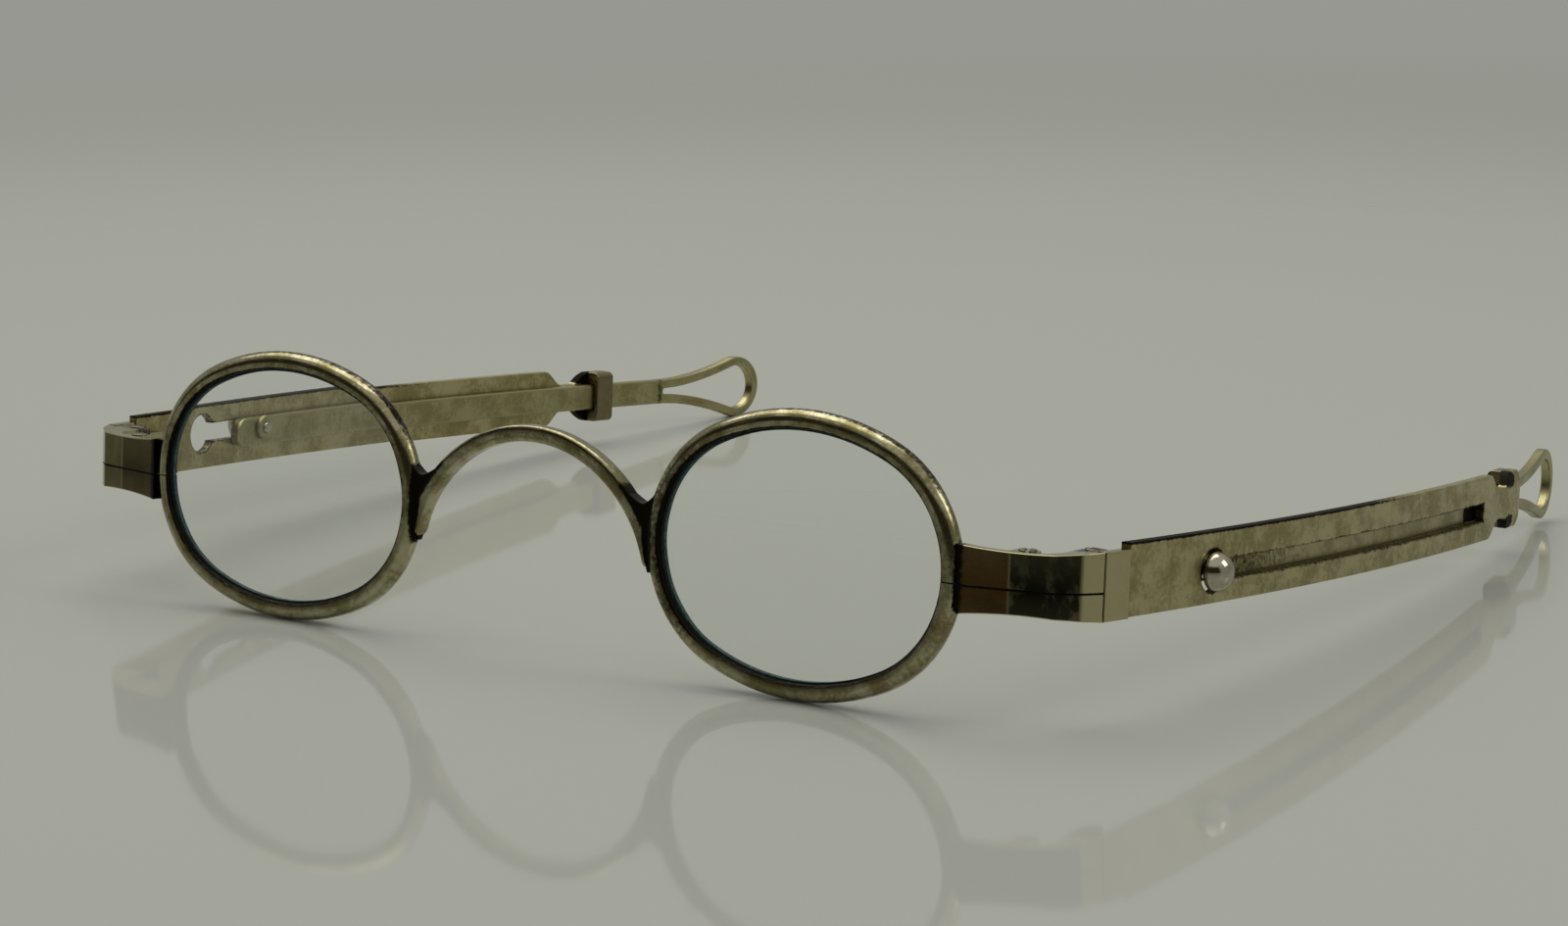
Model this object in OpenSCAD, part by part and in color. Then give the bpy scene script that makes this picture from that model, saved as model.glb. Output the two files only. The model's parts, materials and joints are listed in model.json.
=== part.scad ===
// Antique spectacles with two oval rims, an arched bridge and folding temples.
// Each temple is a slotted strip that carries a sliding bar with a teardrop eye.

/* [Rims] */
// Width of a rim, outside
rim_w = 29.6; // [28:0.1:34]
// Height of a rim, outside
rim_h = 23.2; // [22:0.1:28]
// Outer radius of a rim's two side curves
rim_side_r = 10.7; // [9.8:0.1:11.2]
// Narrowest gap between the two rims
rim_gap = 23.7; // [19:0.1:26]
// Thickness of the rim wire, measured across the opening
rim_wire = 1.5; // [1.3:0.05:2]
// Depth of the rim wire, front to back
rim_depth = 1.86; // [1.6:0.02:2.2]
// Depth of the groove that holds the lens
groove_depth = 0.5; // [0.3:0.05:0.6]
// Width of the saw cut that opens each rim
rim_cut = 0.12; // [0.08:0.02:0.3]

/* [Lenses] */
// Thickness of a lens at its edge
lens_edge = 0.9; // [0.7:0.05:1.1]
// Radius of the lens faces
lens_face_r = 260; // [150:10:500]

/* [Bridge] */
// Radius of the arch, on its inner side
arch_r = 12.1; // [11.5:0.1:13]
// Height of the inner side of the arch above the middle of the rims
arch_rise = 6.4; // [4:0.1:8]
// Thickness of the arch, along its radius
arch_t = 1.4; // [0.9:0.05:1.6]
// Depth of the arch, front to back
arch_depth = 1.4; // [1.1:0.05:1.8]
// Height of the foot of each leg below the middle of the rims
arch_foot = 2.8; // [1:0.1:4]
// Height to which solder fills the corner between arch and rim
solder_rise = 3.5; // [2:0.1:4]

/* [End pieces] */
// Height of an end piece at the rim
end_h = 5.4; // [4.8:0.1:6.2]
// Height of an end piece at its waist
end_waist = 4.8; // [4.4:0.1:6]
// Thickness of the plate of an end piece
end_t = 0.95; // [0.8:0.05:1.2]
// Length of the front face, from the rim to the corner
end_front = 7.8; // [6:0.1:9]
// Sweep of the front face, backwards from the rim
end_sweep = 13; // [0:1:20]
// Width of the bevelled corner
end_corner = 2.3; // [1.5:0.1:3]
// Slope of the bevelled corner
corner_slope = 42; // [30:1:55]
// Length of the side face, from the corner to the hinge gap
end_side = 1.8; // [1:0.1:3]
// Slope of the side face
side_slope = 62; // [50:1:75]
// Height of the split between the halves, from the middle of the rims
split_z = -0.46; // [-0.8:0.02:0]
// Width of the split between the halves
split_gap = 0.06; // [0.04:0.02:0.12]

/* [Screws] */
// Diameter of a screw's shank
shank_d = 0.9; // [0.7:0.05:1.1]
// Diameter of a screw's head
head_d = 1.5; // [1.3:0.05:1.8]
// Height of a screw's head
head_h = 0.5; // [0.4:0.05:0.7]
// Height by which a head stands out of the end piece
head_proud = 0.15; // [0.05:0.05:0.3]
// Width of the slot in a head
driver_w = 0.26; // [0.2:0.02:0.4]
// Depth of the slot in a head
driver_depth = 0.22; // [0.15:0.02:0.3]
// Radius of the boss round the closing screw
boss_r = 1.05; // [0.9:0.05:1.3]
// Distance of the closing screw from the outer side of the rim
boss_x = 4.5; // [3:0.1:6]

/* [Hinges] */
// Radius of the hinge knuckles
knuckle_r = 1.15; // [0.95:0.05:1.4]
// Height of the middle knuckle, on the temple
tongue_h = 1.7; // [1.4:0.1:2]
// Distance of the hinge axis behind the hinge gap
hinge_back = 1.6; // [1.3:0.1:2.2]
// Lean of both hinge axes towards the right, which lets the folded temples pass
hinge_lean = 3; // [2:0.5:4]
// Width of the gap between end piece and temple
butt_gap = 0.14; // [0.1:0.02:0.3]
// Thickness of the joint plate of a temple
butt_t = 0.85; // [0.7:0.05:1]
// Length of the joint plate of a temple
butt_l = 3.1; // [2.8:0.1:4]
// Height by which the joint plate stands out of the strip
butt_proud = 0.08; // [0:0.02:0.2]
// Length of the lap behind the strip
lap_l = 3.4; // [2:0.1:6]
// Height of the lap behind the strip
lap_h = 3.2; // [2:0.1:4]
// Thickness of the lap behind the strip
lap_t = 0.6; // [0.4:0.05:0.9]

/* [Temple strips] */
// Radius of the bow of a temple, on its outer face
bow_r = 286; // [250:1:400]
// Distance of the widest place of the bow behind the rims
bow_y = 46.7; // [40:0.1:60]
// Height of a strip
strip_h = 5.8; // [5:0.1:6.4]
// Height of the strips' middle above the middle of the rims
temple_rise = 0.3; // [0:0.05:0.5]
// Thickness of a strip
strip_t = 0.9; // [0.7:0.05:1.2]
// Distance from the rims to the shoulder where a strip narrows
shoulder_y = 71; // [68:0.1:76]
// Length of the shoulder
shoulder_l = 1.8; // [1:0.1:4]
// Length of the neck behind the shoulder
neck_l = 2.2; // [1.5:0.1:6]
// Height of the neck
neck_h = 2.7; // [2.2:0.1:3.4]
// Length of the flare behind the neck
flare_l = 1.5; // [0.8:0.1:2.5]
// Length of the tee at the end of a strip
tee_l = 2.7; // [2.2:0.1:4]
// Height of the tee at the end of a strip
tee_h = 5.2; // [4.6:0.1:6]

/* [Slots] */
// Height of the slot in a strip
slot_h = 1.65; // [1.4:0.1:2.2]
// Distance of the slot from the middle of the strip: down on the right, up on the left
slot_off = 0.3; // [0:0.05:0.6]
// Distance from the rims to the middle of the keyhole
keyhole_y = 18.2; // [17:0.1:26]
// Diameter of the keyhole
keyhole_d = 3.5; // [3.3:0.05:3.7]
// Distance from the slot's rear end to the shoulder
slot_end = 2; // [1:0.1:4]

/* [Sliders] */
// Height of a slider's bar
bar_h = 2.6; // [2:0.1:3]
// Thickness of a slider's bar
bar_t = 1; // [0.8:0.05:1.2]
// Length of the bar in front of the stud
bar_nose = 3.6; // [2:0.1:6]
// Height of the teardrop eye, outside
eye_h = 6.6; // [6:0.1:8]
// Length of the teardrop eye
eye_l = 15; // [11:0.1:18]
// Thickness of the wire of the eye
eye_wire = 0.95; // [0.7:0.05:1.1]
// Radius of the narrow end of the eye's opening
eye_point_r = 0.35; // [0.2:0.05:0.6]
// Length of the solid part in front of the eye's opening
eye_root = 0.8; // [0.5:0.1:4]
// Slope of the eye's outline where it flares into the round end
eye_flank = 18; // [12:1:24]
// Distance by which the left slider is drawn out
left_out = 7.7; // [0:0.1:20]

/* [Studs] */
// Diameter of a stud's dome
dome_d = 3.2; // [2.5:0.05:3.25]
// Diameter of a stud's neck, in the slot
stud_neck_d = 1.45; // [1.2:0.05:2]
// Diameter of a stud's shank, through the bar
stud_shank_d = 1; // [0.7:0.05:1.2]
// Diameter of the washer behind the bar
washer_d = 2.2; // [1.8:0.1:2.5]
// Thickness of the washer behind the bar
washer_t = 0.35; // [0.25:0.05:0.5]
// Height of the riveted end on the washer
rivet_h = 0.2; // [0.1:0.05:0.3]

/* [Keepers] */
// Length of the band of a keeper
keeper_l = 2.4; // [1.6:0.1:3]
// Thickness of the band over the slider
keeper_t = 0.5; // [0.4:0.05:0.8]

/* [Fits] */
// Gap between pieces that are soldered or seated together
seat = 0.02; // [0.01:0.01:0.03]
// Clearance of the sliding bar
slide_fit = 0.08; // [0.05:0.01:0.12]
// Radial clearance of a hinge screw in the middle knuckle
pivot_fit = 0.04; // [0.02:0.01:0.08]
// Clearance between knuckles
knuckle_fit = 0.1; // [0.06:0.01:0.14]

/* [Hidden] */

// Rim outline: half sizes, and the centres of its side curves and long curves
rim_a = rim_w / 2;
rim_b = rim_h / 2;
lens_x = rim_gap / 2 + rim_a;
mid_z = rim_b;
side_c = rim_a - rim_side_r;
long_c = (pow(side_c, 2) - pow(rim_b - rim_side_r, 2)) / (2 * (rim_b - rim_side_r));
long_r = rim_b + long_c;
wire_r = rim_depth / 2;
groove_w = lens_edge + 2 * seat;

// Plan of an end piece, from the outer side of the rim to the hinge gap
rim_out = lens_x + rim_a;
plan_0 = [rim_out + seat, -wire_r - 0.07];
plan_1 = plan_0 + end_front * [cos(end_sweep), sin(end_sweep)];
plan_2 = plan_1 + end_corner * [cos(corner_slope), sin(corner_slope)];
plan_3 = plan_2 + end_side * [cos(side_slope), sin(side_slope)];
gap_y = plan_3.y;
waist_x = (rim_out + plan_3.x) / 2;
waist_run = (plan_3.x - rim_out) / 2;
waist_r = (pow(waist_run, 2) + pow((end_h - end_waist) / 2, 2)) / (end_h - end_waist);

// Centre of the bow: the outer face starts at the hinge gap
bow_x = plan_3.x + butt_gap * 0.1 - sqrt(pow(bow_r, 2) - pow(bow_y - gap_y, 2));
strip_in = bow_r - strip_t;
bar_out = strip_in - slide_fit;
bar_in = bar_out - bar_t;

// Hinge axis, inside the joint plate
hinge_y = gap_y + hinge_back;
plate_out = bow_r + butt_proud;
plate_in = plate_out - butt_t;
plate_x = bow_x + sqrt(pow(plate_in, 2) - pow(bow_y - gap_y, 2));
hinge_x = plate_x - knuckle_fit - knuckle_r;
boss_y = plan_0.y + boss_x * tan(end_sweep) + end_t + boss_r * 0.9;

// Places along a temple
strip_y = gap_y + butt_l + seat;
neck_y = shoulder_y + shoulder_l;
flare_y = neck_y + neck_l;
tee_y = flare_y + flare_l;
strip_end = tee_y + tee_l;
keeper_y = tee_y + (tee_l - keeper_l) / 2;
slot_back = shoulder_y - slot_end;
eye_start = strip_end + 0.3;
eye_r = eye_h / 2;
eye_y = eye_start + eye_l - eye_r;
left_turn = left_out / bow_r * 180 / PI;

// Lean of the whole object, so that the rims and the drawn-out eye stand on one surface
left_bow_y = eye_y - bow_y;
left_eye_y = bow_y + left_bow_y * cos(left_turn)
    + sqrt(pow(bar_out, 2) - pow(left_bow_y, 2)) * sin(left_turn);
stand_h = mid_z + temple_rise - wire_r;
stand_l = norm([left_eye_y, stand_h]);
tilt = acos((eye_r - wire_r) / stand_l) - atan2(left_eye_y, stand_h);
rear_y = left_eye_y * cos(tilt) + stand_h * sin(tilt) + eye_r;
centre_y = (rear_y - wire_r) / 2;

// Colours
aged_silver = [0.62, 0.6, 0.5];
dark_silver = [0.36, 0.34, 0.27];
bright_silver = [0.78, 0.77, 0.72];
clear_glass = [0.8, 0.88, 0.86, 0.3];

// Places the object, with its lean, on the surface that it rests on
module stand() {
    translate([0, -centre_y, wire_r]) rotate([-tilt, 0, 0]) translate([0, 0, -wire_r]) children();
}

// Mirrors what it is given when side is -1
module on_side(side) {
    if (side > 0) children();
    else mirror([1, 0, 0]) children();
}

// Four-arc oval round the origin, moved out by grow
module oval(grow = 0) {
    ends = rim_side_r + grow;
    flank = atan2(long_c, side_c);
    for (s = [-1, 1]) translate([s * side_c, 0]) circle(r = ends, $fn = 180);
    intersection() {
        for_both_flanks(long_r + grow);
        square([2 * (side_c + ends * cos(flank)), 2 * (rim_b + grow) + 1], center = true);
    }
}

// Lens shape between the two long curves
module for_both_flanks(r) {
    intersection() {
        translate([0, -long_c]) circle(r = r, $fn = 360);
        translate([0, long_c]) circle(r = r, $fn = 360);
    }
}

// Upright oval plate of the given depth, centred on the rim plane of one side
module oval_plate(grow, depth) {
    translate([lens_x, 0, mid_z]) rotate([90, 0, 0])
        linear_extrude(height = depth, center = true) oval(grow);
}

// Section of the rim wire, half round outside and grooved inside, for an outline of the given radius
module rim_section(outer_r) {
    difference() {
        intersection() {
            translate([outer_r - rim_wire, -wire_r]) square([rim_wire, rim_depth]);
            union() {
                translate([outer_r - wire_r, 0]) circle(r = wire_r, $fn = 64);
                translate([outer_r - wire_r - rim_wire, -wire_r]) square([rim_wire, rim_depth]);
            }
        }
        translate([outer_r - 2 * rim_wire + groove_depth, -groove_w / 2]) square([rim_wire, groove_w]);
    }
}

// Length of rim wire along one arc of the oval
module rim_arc(centre, outer_r, from, turn) {
    translate([centre.x, centre.y]) rotate(from)
        rotate_extrude(angle = turn, $fn = 360) rim_section(outer_r);
}

// Closed rim wire
module rim_ring() {
    flank = atan2(long_c, side_c);
    translate([lens_x, 0, mid_z]) rotate([90, 0, 0]) {
        rim_arc([side_c, 0], rim_side_r, -flank, 2 * flank);
        rim_arc([-side_c, 0], rim_side_r, 180 - flank, 2 * flank);
        rim_arc([0, -long_c], long_r, flank, 180 - 2 * flank);
        rim_arc([0, long_c], long_r, 180 + flank, 180 - 2 * flank);
    }
}

module rim_shape() {
    difference() {
        rim_ring();
        translate([rim_out - 2 * rim_wire, -rim_depth, mid_z + split_z - rim_cut / 2])
            cube([3 * rim_wire, 2 * rim_depth, rim_cut]);
    }
}

// Fall of a lens face at the distance r from its middle
function sag(r) = sqrt(pow(lens_face_r, 2) - r * r) - lens_face_r;

module lens_shape() {
    rings = 12;
    reach = rim_a;
    half = lens_edge / 2 - sag(rim_a - rim_wire + groove_depth);
    profile = [for (i = [0:rings]) [reach * i / rings, half + sag(reach * i / rings)]];
    intersection() {
        translate([lens_x, 0, mid_z]) rotate([90, 0, 0]) rotate_extrude($fn = 120)
            polygon(concat(profile, [for (i = [rings:-1:0]) [profile[i].x, -profile[i].y]]));
        // The edge is flat where it sits in the groove
        union() {
            oval_plate(-rim_wire - seat, 4 * lens_edge);
            oval_plate(groove_depth - rim_wire - seat, lens_edge);
        }
    }
}

module bridge_shape() {
    arch_z = mid_z + arch_rise - arch_r;
    outer = arch_r + arch_t;
    difference() {
        union() {
            translate([0, 0, arch_z]) rotate([90, 0, 0]) rotate_extrude($fn = 360)
                translate([arch_r + arch_t / 2, 0]) intersection() {
                    square([arch_t, arch_depth], center = true);
                    circle(r = norm([arch_t, arch_depth]) * 0.445, $fn = 64);
                }
            // Solder in the corners between arch and rims
            translate([0, 0, arch_z]) rotate([90, 0, 0])
                linear_extrude(height = arch_depth * 0.8, center = true) difference() {
                    circle(r = outer + arch_t, $fn = 360);
                    circle(r = arch_r + arch_t / 2, $fn = 360);
                    translate([-outer * 2, mid_z + solder_rise - arch_z]) square(outer * 4);
                }
        }
        for (side = [-1, 1]) on_side(side) oval_plate(seat, 4 * arch_depth);
        translate([-outer * 2, -arch_depth * 2, mid_z - arch_foot - outer * 3])
            cube([outer * 4, arch_depth * 4, outer * 3]);
    }
}

// Plan of an end piece, both halves: plate, corner, knuckle arm and screw boss
module end_plan() {
    inner_1 = plan_1 + end_t * [-sin(end_sweep), cos(end_sweep)];
    polygon([
        plan_0, plan_1, plan_2, [plan_3.x, gap_y - butt_gap / 2],
        [hinge_x + knuckle_r, gap_y - butt_gap / 2], [hinge_x + knuckle_r, hinge_y],
        [hinge_x - knuckle_r, hinge_y], [hinge_x - knuckle_r, inner_1.y + end_t],
        inner_1 - [end_t, 0], plan_0 + [0, end_t]
    ]);
    translate([hinge_x, hinge_y]) circle(r = knuckle_r, $fn = 96);
    intersection() {
        translate([rim_out + boss_x, boss_y]) circle(r = boss_r, $fn = 96);
        translate([rim_out, plan_0.y + end_t]) square([2 * boss_x, 4 * boss_r]);
    }
    translate([rim_out + boss_x - boss_r, plan_0.y + boss_x * tan(end_sweep) + end_t / 2])
        square([2 * boss_r, boss_y - plan_0.y - boss_x * tan(end_sweep) - end_t / 2]);
}

// Turns what it is given to the hinge axis of one side
module hinge_frame(side) {
    translate([hinge_x, hinge_y, mid_z]) rotate([0, side * hinge_lean, 0]) children();
}

// Upper or lower half of an end piece
module end_half(side, part) {
    top = end_h / 2;
    low = part > 0 ? split_z + split_gap / 2 : -top;
    high = part > 0 ? top : split_z - split_gap / 2;
    difference() {
        translate([0, 0, mid_z + low]) linear_extrude(height = high - low) end_plan();
        for (up = [-1, 1])
            translate([waist_x, 0, mid_z + up * (end_waist / 2 + waist_r)]) rotate([90, 0, 0])
                cylinder(r = waist_r, h = 40, center = true, $fn = 360);
        oval_plate(seat, 4 * rim_depth);
        hinge_frame(side) {
            cylinder(
                r = knuckle_r + knuckle_fit, h = tongue_h + 2 * knuckle_fit,
                center = true, $fn = 96
            );
            cylinder(r = shank_d / 2 + seat, h = 3 * end_h, center = true, $fn = 48);
            translate([0, 0, screw_top(hinge_x) - head_h - seat])
                cylinder(r = head_d / 2 + seat, h = end_h, $fn = 48);
        }
        translate([rim_out + boss_x, boss_y, mid_z]) {
            cylinder(r = shank_d / 2 + seat, h = 3 * end_h, center = true, $fn = 48);
            translate([0, 0, screw_top(rim_out + boss_x) - head_h - seat])
                cylinder(r = head_d / 2 + seat, h = end_h, $fn = 48);
        }
    }
}

// Height of a screw's head above the middle of the rims, at the place x
function screw_top(x) = end_waist / 2 + waist_r - sqrt(pow(waist_r, 2) - pow(x - waist_x, 2)) + head_proud;

// Cheese-head screw whose head ends at the given height and shank at minus foot
module screw(top, foot) {
    translate([0, 0, top - head_h]) difference() {
        cylinder(r = head_d / 2, h = head_h, $fn = 48);
        translate([-head_d, -driver_w / 2, head_h - driver_depth]) cube([2 * head_d, driver_w, head_d]);
    }
    translate([0, 0, -foot])
        cylinder(r = shank_d / 2, h = foot + top - (head_h + driver_depth) / 2, $fn = 48);
}

module closing_screw(side) {
    x = rim_out + boss_x;
    translate([x, boss_y, mid_z]) rotate(25) screw(screw_top(x), screw_top(x) - head_proud);
}

module hinge_screw(side) {
    hinge_frame(side) screw(screw_top(hinge_x), screw_top(hinge_x) - 2 * head_proud);
}

// Lifts what belongs to a strip to the strip's height
module raised() {
    translate([0, 0, temple_rise]) children();
}

// Side view drawn in y and z, cut out of the bowed shell between two radii
module bowed(outer, inner) {
    intersection() {
        translate([bow_x, bow_y, mid_z - 10]) difference() {
            cylinder(r = outer, h = 20, $fn = 1440);
            translate([0, 0, -1]) cylinder(r = inner, h = 22, $fn = 1440);
        }
        translate([bow_x + bow_r / 2, 0, mid_z]) rotate([90, 0, 90])
            linear_extrude(height = bow_r) children();
    }
}

module joint_shape(side) {
    top = end_h / 2;
    butt_y = gap_y + butt_gap / 2;
    plate_end = gap_y + butt_l;
    difference() {
        union() {
            bowed(plate_out, plate_in) translate([butt_y, -top]) square([plate_end - butt_y, end_h]);
            // Lap soldered behind the strip
            bowed(strip_in - seat, strip_in - seat - lap_t)
                translate([plate_end - strip_t, -lap_h / 2]) square([lap_l + strip_t, lap_h]);
            // Web from the plate to the middle knuckle
            translate([hinge_x, hinge_y, mid_z - tongue_h / 2])
                cube([plate_x + butt_t / 2 - hinge_x, plate_end - hinge_y, tongue_h]);
        }
        // Room for the outer knuckles
        hinge_frame(side) difference() {
            cylinder(r = knuckle_r + knuckle_fit, h = 2 * end_h, center = true, $fn = 96);
            cylinder(r = 2 * knuckle_r, h = tongue_h, center = true, $fn = 96);
        }
        joint_bore(side);
    }
    difference() {
        hinge_frame(side) cylinder(r = knuckle_r, h = tongue_h, center = true, $fn = 96);
        joint_bore(side);
    }
}

module joint_bore(side) {
    hinge_frame(side)
        cylinder(r = shank_d / 2 + pivot_fit, h = 2 * tongue_h, center = true, $fn = 48);
}

module strip_shape(side) {
    slot_z = -side * slot_off;
    bowed(bow_r, strip_in) difference() {
        polygon([
            [strip_y, -strip_h / 2], [shoulder_y, -strip_h / 2], [neck_y, -neck_h / 2],
            [flare_y, -neck_h / 2], [tee_y, -tee_h / 2], [strip_end, -tee_h / 2],
            [strip_end, tee_h / 2], [tee_y, tee_h / 2], [flare_y, neck_h / 2],
            [neck_y, neck_h / 2], [shoulder_y, strip_h / 2], [strip_y, strip_h / 2]
        ]);
        translate([keyhole_y, slot_z]) circle(d = keyhole_d, $fn = 64);
        translate([keyhole_y, slot_z - slot_h / 2]) square([slot_back - keyhole_y, slot_h]);
    }
}

module keeper_shape() {
    channel = bar_h + 2 * slide_fit;
    difference() {
        bowed(strip_in - seat, bar_in - slide_fit - keeper_t)
            translate([keeper_y, -tee_h / 2]) square([keeper_l, tee_h]);
        bowed(bow_r, bar_in - slide_fit)
            translate([keeper_y - 1, -channel / 2]) square([keeper_l + 2, channel]);
    }
}

// Points on an arc round the place y on the long axis, from one angle to another
function arc(y, r, from, to, steps) =
    [for (i = [0:steps]) let (a = from + (to - from) * i / steps) [y + r * cos(a), r * sin(a)]];

// Points of a flare on the upper side, from the half height h at the place y into the
// eye's round end of radius r: a power curve that starts level and meets it at eye_flank
function flare(y, h, r, steps) =
    let (run = eye_y - r * sin(eye_flank) - y, rise = r * cos(eye_flank) - h,
        bend = tan(eye_flank) * run / rise)
    [for (i = [0:steps - 1]) [y + run * i / steps, h + rise * pow(i / steps, bend)]];

// The same points on the lower side, in the other order
function under(points) =
    [for (i = [len(points) - 1:-1:0]) [points[i].x, -points[i].y]];

module slider_shape(side) {
    nose_r = bar_h / 2;
    nose_y = keyhole_y - bar_nose + nose_r;
    point_y = eye_start + eye_root;
    inner_r = eye_r - eye_wire;
    round_end = 90 + eye_flank;
    upper = flare(eye_start, nose_r, eye_r, 12);
    opening = flare(point_y, eye_point_r, inner_r, 12);
    difference() {
        bowed(bar_out, bar_in) difference() {
            polygon(concat(
                arc(nose_y, nose_r, 270, 90, 16), upper,
                arc(eye_y, eye_r, round_end, -round_end, 60), under(upper)
            ));
            polygon(concat(
                arc(point_y, eye_point_r, 258, 102, 6), opening,
                arc(eye_y, inner_r, round_end, -round_end, 48), under(opening)
            ));
        }
        stud_frame(side) cylinder(r = stud_shank_d / 2 + seat, h = 6, center = true, $fn = 48);
    }
}

// The origin on the outer face of the strip at the stud, with z pointing outwards
module stud_frame(side) {
    turn = asin((keyhole_y - bow_y) / bow_r);
    translate([bow_x, bow_y, mid_z - side * slot_off]) rotate([0, 0, turn])
        translate([bow_r, 0, 0]) rotate([0, 90, 0]) children();
}

module stud_shape(side) {
    neck_foot = bow_r - bar_out - seat;
    shank_foot = bow_r - bar_in + seat + washer_t + rivet_h;
    stud_frame(side) {
        translate([0, 0, slide_fit]) intersection() {
            sphere(d = dome_d, $fn = 96);
            translate([0, 0, dome_d / 2]) cube(dome_d, center = true);
        }
        translate([0, 0, -neck_foot]) cylinder(d = stud_neck_d, h = neck_foot + slide_fit, $fn = 48);
        translate([0, 0, -shank_foot]) cylinder(d = stud_shank_d, h = shank_foot, $fn = 48);
    }
}

module washer_shape(side) {
    foot = bow_r - bar_in + seat + washer_t;
    stud_frame(side) translate([0, 0, -foot]) difference() {
        cylinder(d = washer_d, h = washer_t, $fn = 64);
        translate([0, 0, -1]) cylinder(r = stud_shank_d / 2 + seat, h = 2 + washer_t, $fn = 48);
    }
}

// Draws the left slider out along the bow
module drawn(side) {
    if (side > 0) children();
    else translate([bow_x, bow_y, 0]) rotate(left_turn) translate([-bow_x, -bow_y, 0]) children();
}

module rim(side) color(aged_silver) stand() on_side(side) rim_shape();
module lens(side) color(clear_glass) stand() on_side(side) lens_shape();
module bridge() color(aged_silver) stand() bridge_shape();
module end_piece(side, part) color(dark_silver) stand() on_side(side) end_half(side, part);
module closing(side) color(bright_silver) stand() on_side(side) closing_screw(side);
module pivot(side) color(bright_silver) stand() on_side(side) hinge_screw(side);
module temple_joint(side) color(dark_silver) stand() on_side(side) joint_shape(side);
module temple_strip(side) color(aged_silver) stand() on_side(side) raised() strip_shape(side);
module keeper(side) color(aged_silver) stand() on_side(side) raised() keeper_shape();
module slider(side) color(bright_silver) stand() on_side(side) drawn(side) raised() slider_shape(side);
module stud(side) color(bright_silver) stand() on_side(side) drawn(side) raised() stud_shape(side);
module washer(side) color(dark_silver) stand() on_side(side) drawn(side) raised() washer_shape(side);

rim(1);  // rim_right
rim(-1);  // rim_left
bridge();
lens(1);  // lens_right
lens(-1);  // lens_left
end_piece(1, 1);  // end_piece_upper_right
end_piece(1, -1);  // end_piece_lower_right
end_piece(-1, 1);  // end_piece_upper_left
end_piece(-1, -1);  // end_piece_lower_left
closing(1);  // closing_screw_right
closing(-1);  // closing_screw_left
pivot(1);  // hinge_screw_right
pivot(-1);  // hinge_screw_left
temple_joint(1);  // temple_joint_right
temple_joint(-1);  // temple_joint_left
temple_strip(1);  // temple_strip_right
temple_strip(-1);  // temple_strip_left
keeper(1);  // slide_keeper_right
keeper(-1);  // slide_keeper_left
slider(1);  // slider_right
slider(-1);  // slider_left
stud(1);  // slider_stud_right
stud(-1);  // slider_stud_left
washer(1);  // stud_washer_right
washer(-1);  // stud_washer_left
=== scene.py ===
"""Old silver spectacles with two oval rims, an arched bridge and sliding temples.

Sizes are millimetres in the maker's own frame: x towards the right temple, y backwards from the
middle of the rims, z up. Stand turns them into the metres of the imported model.
"""

import json
import logging
import math
from dataclasses import dataclass, field, replace
from enum import Enum
from typing import Callable, ClassVar, Sequence

import bmesh
import bpy
import numpy as np
from mathutils import Matrix, Vector

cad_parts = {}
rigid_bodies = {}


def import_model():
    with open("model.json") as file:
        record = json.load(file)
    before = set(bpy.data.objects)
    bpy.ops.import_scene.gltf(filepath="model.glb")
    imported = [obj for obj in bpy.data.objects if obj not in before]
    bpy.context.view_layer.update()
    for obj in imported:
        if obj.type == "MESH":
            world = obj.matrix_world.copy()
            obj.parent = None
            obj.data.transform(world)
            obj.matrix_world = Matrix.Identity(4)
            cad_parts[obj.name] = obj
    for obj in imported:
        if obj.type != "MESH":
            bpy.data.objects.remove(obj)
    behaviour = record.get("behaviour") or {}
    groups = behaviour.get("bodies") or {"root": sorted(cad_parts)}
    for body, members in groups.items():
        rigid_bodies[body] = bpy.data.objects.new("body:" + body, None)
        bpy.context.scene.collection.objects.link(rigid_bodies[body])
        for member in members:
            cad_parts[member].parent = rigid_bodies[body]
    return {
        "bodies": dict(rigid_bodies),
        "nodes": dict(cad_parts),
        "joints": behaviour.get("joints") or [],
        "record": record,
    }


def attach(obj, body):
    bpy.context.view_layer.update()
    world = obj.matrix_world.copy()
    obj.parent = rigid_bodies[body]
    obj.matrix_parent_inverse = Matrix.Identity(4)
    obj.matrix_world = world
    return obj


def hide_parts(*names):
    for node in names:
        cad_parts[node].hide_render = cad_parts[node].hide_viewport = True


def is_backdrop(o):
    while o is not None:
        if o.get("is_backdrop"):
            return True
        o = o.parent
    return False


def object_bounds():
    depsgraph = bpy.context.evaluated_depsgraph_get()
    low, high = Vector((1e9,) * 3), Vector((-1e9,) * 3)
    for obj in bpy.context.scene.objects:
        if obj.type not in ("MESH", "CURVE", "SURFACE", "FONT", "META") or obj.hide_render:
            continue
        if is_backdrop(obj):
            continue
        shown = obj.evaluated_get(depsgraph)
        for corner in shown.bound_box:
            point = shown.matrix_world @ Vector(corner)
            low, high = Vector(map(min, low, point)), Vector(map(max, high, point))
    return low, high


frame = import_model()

Array = np.ndarray
Colour = tuple[float, float, float]
Place = Callable[[Array], Array]
Triple = tuple[float, float, float]

MM = 0.001
WELD = 4e-7            # metres within which points of a piece are merged
SHARP_ANGLE = 40.0     # degrees beyond which an edge is shaded sharp
LEFT_GRAIN = 400.0     # millimetres by which the finishes of the left side are shifted
NO_AREA = 1e-7         # square millimetres below which a face of a sheet is dropped
RELAX_STEPS = 240      # passes that spread the border's inset over a sheet
BUMP_HEIGHT = 0.03     # millimetres of the finishes' bumps
log = logging.getLogger("spectacles")


class Named(Enum):
    """Choice whose name is part of node names."""

    @property
    def word(self) -> str:
        """Name of the choice in node names."""
        return self.name.lower()


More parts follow.
